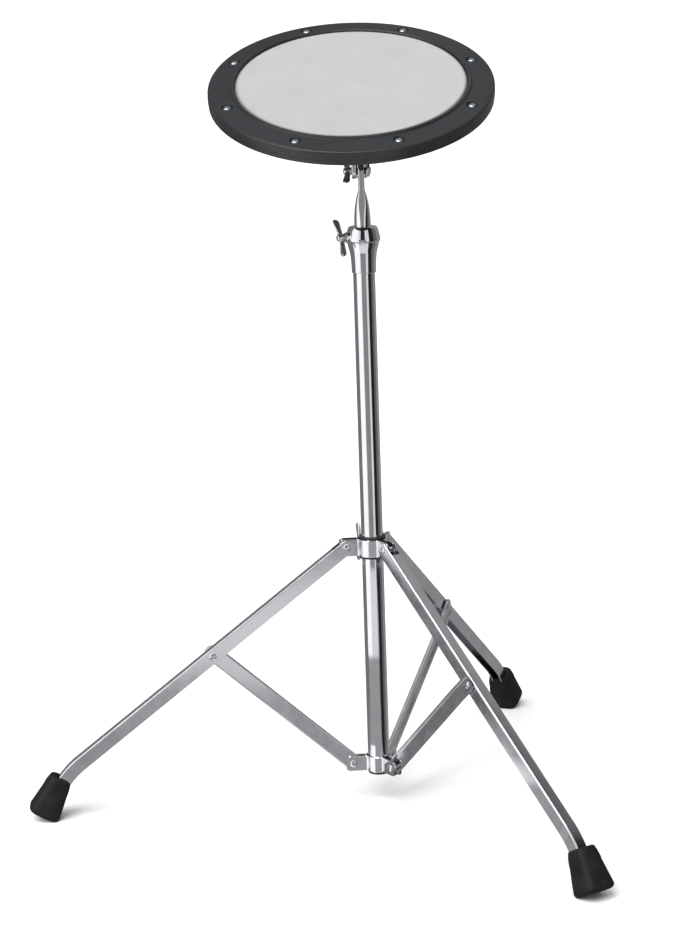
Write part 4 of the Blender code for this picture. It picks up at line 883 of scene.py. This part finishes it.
def plate_path(band):
    """Middle of one pressed plate in plan, symmetric about X, as the CAD's."""
    bend = 4.0 * MM
    reach = sqrt((band + bend) ** 2 - (EAR_OFFSET + bend) ** 2)
    along = Vector((cos(pi / 3), sin(pi / 3)))
    across = Vector((-sin(pi / 3), cos(pi / 3)))
    centre = along * reach - across * (EAR_OFFSET + bend)
    turn = atan2(centre.y, centre.x)
    corner = centre + across * bend
    tip = along * (PIVOT_RADIUS + EAR_LENGTH) - across * EAR_OFFSET
    ear = [tuple(tip.lerp(corner, (i / 14) ** 1.6)) for i in range(14)]
    upper = ear + arc(centre, bend, pi / 3 + pi / 2, turn + pi, 10)
    wrap = arc((0, 0), band, turn, -turn, 40)
    return upper + wrap[1:-1] + [(x, -y) for x, y in reversed(upper)]


def strip(path, low, high, sheet, corner):
    """A sheet standing on its edge along a path in plan, with its end corners rounded."""
    middle = (low + high) / 2
    half = (high - low) / 2
    lengths = [0.0]
    for a, b in zip(path, path[1:]):
        lengths.append(lengths[-1] + hypot(b[0] - a[0], b[1] - a[1]))
    rings = []
    for i, (x, y) in enumerate(path):
        before = Vector(path[max(i - 1, 0)])
        after = Vector(path[min(i + 1, len(path) - 1)])
        along = (after - before).normalized()
        side = Vector((-along.y, along.x)) * sheet / 2
        near = min(lengths[i], lengths[-1] - lengths[i])
        drop = corner - sqrt(max(corner ** 2 - (corner - min(near, corner)) ** 2, 0))
        h = half - drop
        ease = 0.35 * MM
        section = [(1, h - ease), (1 - 2 * ease / sheet, h), (-1 + 2 * ease / sheet, h), (-1, h - ease),
                   (-1, ease - h), (-1 + 2 * ease / sheet, -h), (1 - 2 * ease / sheet, -h), (1, ease - h)]
        rings.append([(x + side.x * s, y + side.y * s, middle + z) for s, z in section])
    return loft(rings)


def leg_azimuth(side):
    axis = JOINTS[f"leg_{side}_fold"]["axis"]
    return atan2(-axis[0], axis[1])


def show_brackets():
    boss_frame = COLUMN.inverted() @ screw_frame("bracket_screw_turn")
    for prefix, body, band in (("base_plate", "column", TUBE_RADIUS + GAP + PLATE_SHEET / 2),
                               ("slide_plate", "bracket",
                                TUBE_RADIUS + 2 * GAP + LINER_WALL + PLATE_SHEET / 2)):
        for number, side in enumerate(SIDES, start=1):
            node = f"{prefix}_{number}"
            low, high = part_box(node)
            mesh = strip(plate_path(band), low.z, high.z, PLATE_SHEET, PLATE_CORNER)
            mesh = moved(mesh, Matrix.Rotation(leg_azimuth(side) + pi / 3, 4, "Z"))
            if node == "slide_plate_3":
                profile = fillet([(0, band + 6 * MM), (5.6 * MM, band + 6 * MM), (6 * MM, band + 2 * MM),
                                  (6.6 * MM, band), (0, band)], 0.7 * MM, 4, False)
                boss = moved(lathe(profile, 64, False), boss_frame @ Z_TO_X)
                mesh = boolean(mesh, ("UNION", boss))
            show(node, mesh, COLUMN, body, POLISHED, sharp=radians(30))
    low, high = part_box("slide_liner")
    bore = TUBE_RADIUS + GAP
    outer = bore + LINER_WALL
    lip = outer + 0.5 * MM
    outline = fillet([(lip, high.z), (lip, high.z - 1.6 * MM), (outer, high.z - 2 * MM),
                      (outer, low.z + 2 * MM), (lip, low.z + 1.6 * MM), (lip, low.z), (bore, low.z),
                      (bore, high.z)], 0.5 * MM)
    show("slide_liner", lathe(outline), COLUMN, "bracket", BLACK_PLASTIC)


# Legs and struts ---------------------------------------------------------------------------------

def rivet_head(level):
    """Outline of a domed head that stands on a level, from the axis down its outer side."""
    radius, height = 4.3 * MM, 1.5 * MM
    base = level + 0.25 * MM
    dome = [(radius * sin(a), base + height * cos(a)) for a in (pi / 2 * i / 10 for i in range(11))]
    return [(0, base + height)] + dome[1:] + [(radius - 0.1 * MM, level + 0.02 * MM)]


def rivet_mesh(half, far=None):
    head = rivet_head(half)
    if far is None:
        outline = head + [(RIVET_SHANK, half), (RIVET_SHANK, -half)] + [(r, -z) for r, z in reversed(head)]
    else:
        outline = head + [(RIVET_SHANK, half), (RIVET_SHANK, 0.4 * MM - far),
                          (RIVET_SHANK - 0.4 * MM, -far), (0, -far)]
    return lathe(outline, 48, False)


def swept(section, stations):
    """Sweep a section of (y, z) along stations of (x, z, pitch) in the XZ plane."""
    rings = [[(x + sin(pitch) * h, y, z + cos(pitch) * h) for y, h in section] for x, z, pitch in stations]
    return loft(rings)


def channel_section(width, height, sheet, corner):
    """Closed outline of a channel that is open towards -Z."""
    y = width / 2
    z = height / 2
    outer = [(y, -z)] + arc((y - corner, z - corner), corner, 0, pi / 2, 6)
    outer += [(-a, b) for a, b in reversed(outer)]
    inner_corner = max(corner - sheet, 0.3 * MM)
    yi = y - sheet
    zi = z - sheet
    inner = [(yi, -z)] + arc((yi - inner_corner, zi - inner_corner), inner_corner, 0, pi / 2, 4)
    inner += [(-a, b) for a, b in reversed(inner)]
    return outer + inner[::-1]


def rounded_end_tool(radius, x, flip=1):
    """What lies past a rounded end in the XZ plane, as a cutter."""
    far = 3 * radius
    outline = [(0, -far), (0, -radius)] + [(-a, b) for a, b in arc((0, 0), radius, -pi / 2, pi / 2, 40)][1:]
    outline += [(0, far), (-far, far), (-far, -far)]
    mesh = extrude([(flip * a, b) for a, b in outline], -4 * LEG_WIDTH, 4 * LEG_WIDTH)
    return moved(mesh, Matrix.Translation((x, 0, 0)) @ Y_TO_Z)


def block(low, high):
    outline = [(low[0], low[1]), (high[0], low[1]), (high[0], high[1]), (low[0], high[1])]
    return extrude(outline, low[2], high[2])


def pivot_frame(limb, side):
    """Origin on the pivot of a leg or strut, +X level and outwards."""
    spot = Matrix.Translation(JOINTS[f"{limb}_{side}_fold"]["pos_m"])
    return spot @ Matrix.Rotation(leg_azimuth(side), 4, "Z")


def limb_frame(limb, side):
    """Origin on the pivot of a leg or strut, +X towards the knee; with its pitch and its reach."""
    low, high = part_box(f"knee_rivet_{side}")
    azimuth = leg_azimuth(side)
    knee = (low + high) / 2 - Vector(JOINTS[f"{limb}_{side}_fold"]["pos_m"])
    outwards = knee.x * cos(azimuth) + knee.y * sin(azimuth)
    pitch = atan2(-knee.z, outwards)
    return pivot_frame(limb, side) @ Matrix.Rotation(pitch, 4, "Y"), pitch, hypot(outwards, knee.z)


def show_leg(side):
    matrix, pitch, knee = limb_frame("leg", side)
    bend = pi / 2 - pitch - FOOT_LEAN
    tangent = BEND_RADIUS * tan(bend / 2)
    straight = LEG_STRAIGHT - tangent
    stations = [(-LEG_HEIGHT / 2, 0, 0), (straight, 0, 0)]
    stations += [(straight + BEND_RADIUS * sin(bend * i / 20), -BEND_RADIUS * (1 - cos(bend * i / 20)),
                  bend * i / 20) for i in range(1, 21)]
    x, z, turn = stations[-1]
    rest = LEG_END - tangent
    stations.append((x + cos(bend) * rest, z - sin(bend) * rest, turn))
    section = channel_section(LEG_WIDTH, LEG_HEIGHT, LEG_SHEET, 2.0 * MM)
    channel = swept(section, stations)
    web = block((-LEG_HEIGHT, LEG_SHEET - LEG_WIDTH / 2, LEG_HEIGHT / 2 - 4 * MM),
                (15 * MM, LEG_WIDTH / 2 - LEG_SHEET, LEG_HEIGHT))
    channel = boolean(channel, ("DIFFERENCE", rounded_end_tool(LEG_HEIGHT / 2, 0)), ("DIFFERENCE", web))
    channel = bevelled(channel, 0.25 * MM, 2, radians(50))
    show(f"leg_{side}", channel, matrix, f"leg_{side}", PLATE, sharp=radians(30))
    half = LEG_WIDTH / 2
    show(f"knee_rivet_{side}", rivet_mesh(half, half - 0.1 * MM),
         matrix @ Matrix.Translation((knee, 0, 0)) @ Z_TO_Y, f"leg_{side}", CHROME)
    show(f"leg_pivot_rivet_{side}", rivet_mesh(half), pivot_frame("leg", side) @ Z_TO_Y, "bracket",
         CHROME)
    show_foot(side, matrix, bend)


def boot_ring(height, half_depth, half_width, squareness):
    ring = []
    for k in range(64):
        angle = 2 * pi * k / 64
        ring.append((half_width * squared(cos(angle), 2 / squareness),
                     half_depth * squared(sin(angle), 2 / squareness), height))
    return ring


def show_foot(side, leg, bend):
    """Rubber boot: squarish, flared, with a rolled mouth round the leg and a rounded tread."""
    matrix = (leg @ Matrix.Translation((LEG_STRAIGHT, 0, 0)) @ Matrix.Rotation(bend, 4, "Y")
              @ Matrix.Translation((BOOT_MOUTH, 0, BOOT_SHIFT)) @ Matrix.Rotation(-pi / 2, 4, "Y"))
    square = 3.4
    pocket_y = LEG_WIDTH / 2 + 0.2 * MM
    pocket_x = LEG_HEIGHT / 2 + 0.2 * MM
    inner = [boot_ring(-22 * MM, pocket_y, pocket_x, 14), boot_ring(-2.0 * MM, pocket_y, pocket_x, 14),
             boot_ring(-0.5 * MM, pocket_y + 0.5 * MM, pocket_x + 0.5 * MM, 10)]
    inner = [[(x - BOOT_SHIFT, y, z) for x, y, z in ring] for ring in inner]
    outer = []
    for i in range(7):
        angle = pi / 2 * i / 6
        size = BOOT_TOP - 3.0 * MM * (1 - sin(angle))
        outer.append(boot_ring(-3.0 * MM * (1 - cos(angle)), size, size, square))
    for i in range(1, 13):
        share = i / 12
        size = BOOT_TOP + (BOOT_BOTTOM - BOOT_TOP) * share ** 0.92 + 0.5 * MM * sin(pi * min(share * 3, 1))
        outer.append(boot_ring(-3 * MM - (BOOT_LENGTH - 8 * MM) * share, size, size, square + 0.4 * share))
    for i in range(1, 9):
        angle = pi / 2 * i / 8
        size = BOOT_BOTTOM - 5 * MM * (1 - cos(angle))
        outer.append(boot_ring(5 * MM - BOOT_LENGTH - 5 * MM * sin(angle), size, size, square + 0.4))
    outer.append(boot_ring(-BOOT_LENGTH - 0.6 * MM, BOOT_BOTTOM * 0.5, BOOT_BOTTOM * 0.5, square))
    mesh = moved(loft(inner + outer), matrix)
    for vertex in mesh.vertices:
        vertex.co.z = max(vertex.co.z, 0)
    mesh = moved(mesh, matrix.inverted())
    show(f"foot_{side}", mesh, matrix, f"leg_{side}", RUBBER, sharp=radians(60))


def show_strut(side):
    """Strut: a shallow pressed channel that runs across to lie beside the leg, with the knee's
    formed rivet head."""
    matrix, _, reach = limb_frame("strut", side)
    inner_face = STRUT_DEPTH / 2
    step = inner_face + LEG_WIDTH / 2 + KNEE_CLEARANCE
    section = [(z, y) for y, z in channel_section(STRUT_WIDTH, STRUT_DEPTH, STRUT_SHEET, 1.7 * MM)]
    end = STRUT_WIDTH / 2
    stations = [(-end, 0), (SLANT_START, 0), (reach - SLANT_STOP, -step), (reach + end, -step)]
    rings = [[(x, y + shift, z) for y, z in section] for x, shift in stations]
    strut = boolean(loft(rings), ("DIFFERENCE", rounded_end_tool(end, 0)),
                    ("DIFFERENCE", rounded_end_tool(end, reach, -1)))
    strut = bevelled(strut, 0.25 * MM, 2, radians(50))
    outline = rivet_head(STRUT_SHEET) + [(3.4 * MM, STRUT_SHEET / 2), (0, STRUT_SHEET / 2)]
    head = moved(lathe(outline, 48, False),
                 Matrix.Translation((reach, inner_face - step, 0)) @ Y_TO_Z)
    show(f"strut_{side}", joined(strut, head), matrix, f"strut_{side}", PLATE,
         sharp=radians(30))
    show(f"strut_pivot_rivet_{side}", rivet_mesh(EAR_OUTSIDE),
         pivot_frame("strut", side) @ Z_TO_Y,
         "column", CHROME)


def show_hidden_nylon():
    """The bushing and the guide keep their CAD shapes, inside the collar and the tube."""
    for node in ("height_bushing", "mast_guide"):
        mesh = frame["nodes"][node].data
        mesh.materials.clear()
        mesh.materials.append(NYLON)


# Studio ------------------------------------------------------------------------------------------

def make_camera():
    """A long lens from a little above the pad's height, looking down and rolled slightly."""
    data = bpy.data.cameras.new("camera")
    data.lens = 97.0
    data.sensor_width = 36.0
    data.clip_end = 300.0
    camera = bpy.data.objects.new("camera", data)
    bpy.context.scene.collection.objects.link(camera)
    pitch, yaw, roll = 0.2137, -0.0119, -0.0331
    base = Matrix(((1, 0, 0), (0, 0, -1), (0, 1, 0)))
    turn = (Matrix.Rotation(roll, 3, "Z") @ Matrix.Rotation(pitch, 3, "X") @ base
            @ Matrix.Rotation(yaw, 3, "Z"))
    right, down, forward = turn
    matrix = Matrix((right, -down, -forward)).transposed().to_4x4()
    aside, away, height = -0.0006, 2.899, 1.0323
    matrix.translation = Vector((AXIS.x + aside, AXIS.y - away, height))
    camera.matrix_world = matrix
    bpy.context.scene.camera = camera


def card(name, mesh, shade):
    """A studio card that only reflections see: it gives polished metal its light and dark bands."""
    obj = scratch(mesh)
    obj.name = name
    material, tree, shader = material_base(name, (0, 0, 0), 1.0)
    set_inputs(shader, {"Specular IOR Level": 0.0, "Emission Color": (shade, shade, shade * 1.02, 1),
                        "Emission Strength": 1.0})
    mesh.materials.append(material)
    obj.visible_camera = False
    obj.visible_shadow = False
    obj.visible_diffuse = False


# Cards round the stand: from and to, in degrees from the viewer's side towards +X, how light, and
# how near to the column their floor part comes
CARDS = [(-180, -84, 0.20, 0.0), (-84, -34, 1.25, 0.62), (-34, 40, 0.85, 0.62), (40, 74, 0.02, 0.0),
         (74, 104, 0.14, 0.0), (104, 180, 0.30, 0.0)]
CARD_RADIUS = 1.15
CARD_HEIGHT = 2.4
# The floor nearer than the far cards: from and to, how light, inner and outer radius
NEAR_FLOOR = [(-84, -34, 1.25, 0.02, 0.22), (-84, -34, 0.36, 0.22, 0.62), (-34, 40, 0.36, 0.02, 0.62)]
# The dark round the camera and the grey below it: from and to, how light, heights
VIEWER_CARDS = [(-17, 13, 0.03, 0.80, 1.7), (-28, 20, 0.28, 0.004, 0.80)]


def card_path(start, end, radius, steps=24):
    angles = [radians(start + (end - start) * i / steps) for i in range(steps + 1)]
    return [(AXIS.x + radius * sin(a), AXIS.y - radius * cos(a)) for a in angles]


def wall_card(start, end, radius, low, high):
    return loft([[(x, y, low), (x, y, high), (x + 0.01 * (x - AXIS.x), y + 0.01 * (y - AXIS.y), high),
                          (x + 0.01 * (x - AXIS.x), y + 0.01 * (y - AXIS.y), low)]
                         for x, y in card_path(start, end, radius)])


def floor_card(start, end, inner, outer):
    rings = [[(a[0], a[1], 0.003), (b[0], b[1], 0.003), (b[0], b[1], 0.001), (a[0], a[1], 0.001)]
             for a, b in zip(card_path(start, end, inner), card_path(start, end, outer))]
    return loft(rings)


def make_cards():
    for number, (start, end, shade, inner) in enumerate(CARDS):
        card(f"card_{number}", wall_card(start, end, CARD_RADIUS, 0.004, CARD_HEIGHT), shade)
        card(f"floor_card_{number}", floor_card(start, end, max(inner, 0.02), CARD_RADIUS), shade)
    for number, (start, end, shade, inner, outer) in enumerate(NEAR_FLOOR):
        card(f"near_floor_card_{number}", floor_card(start, end, inner, outer), shade)
    for number, (start, end, shade, low, high) in enumerate(VIEWER_CARDS):
        card(f"viewer_card_{number}", wall_card(start, end, CARD_RADIUS - 0.03, low, high), shade)


def make_studio():
    floor = scratch(extrude([(-90, -90), (90, -90), (90, 90), (-90, 90)], -0.02, 0))
    floor.name = "floor"
    material, tree, shader = material_base("pale_floor", (0.9, 0.9, 0.9), 0.8)
    shader.inputs["Specular IOR Level"].default_value = 0.1
    cloud = noise(tree, coordinates(tree, own=False), 3.0)
    feed(tree, shader, tint(tree, cloud, (0.88, 0.88, 0.88), (0.91, 0.91, 0.91)))
    floor.data.materials.append(material)
    make_cards()
    world = bpy.data.worlds.new("studio")
    bpy.context.scene.world = world
    world.use_nodes = True
    set_inputs(world.node_tree.nodes["Background"], {"Color": (1, 1, 1, 1), "Strength": 0.55})
    data = bpy.data.lights.new("key", "SUN")
    data.energy = 4.0
    data.angle = radians(50)
    key = bpy.data.objects.new("key", data)
    bpy.context.scene.collection.objects.link(key)
    key.rotation_euler = Vector((0.35, 0.6, -0.85)).to_track_quat("-Z", "Y").to_euler()
    bpy.context.scene.view_settings.view_transform = "Standard"


make_camera()
show_lower_tube()
show_end_plug()
show_collar()
show_wing_screws()
show_upper_tube()
show_stem()
show_tilter()
show_rim()
show_head()
show_base()
show_foam()
show_tension_screws()
show_pad_mount()
show_brackets()
for leg_side in SIDES:
    show_leg(leg_side)
    show_strut(leg_side)
show_hidden_nylon()
make_studio()
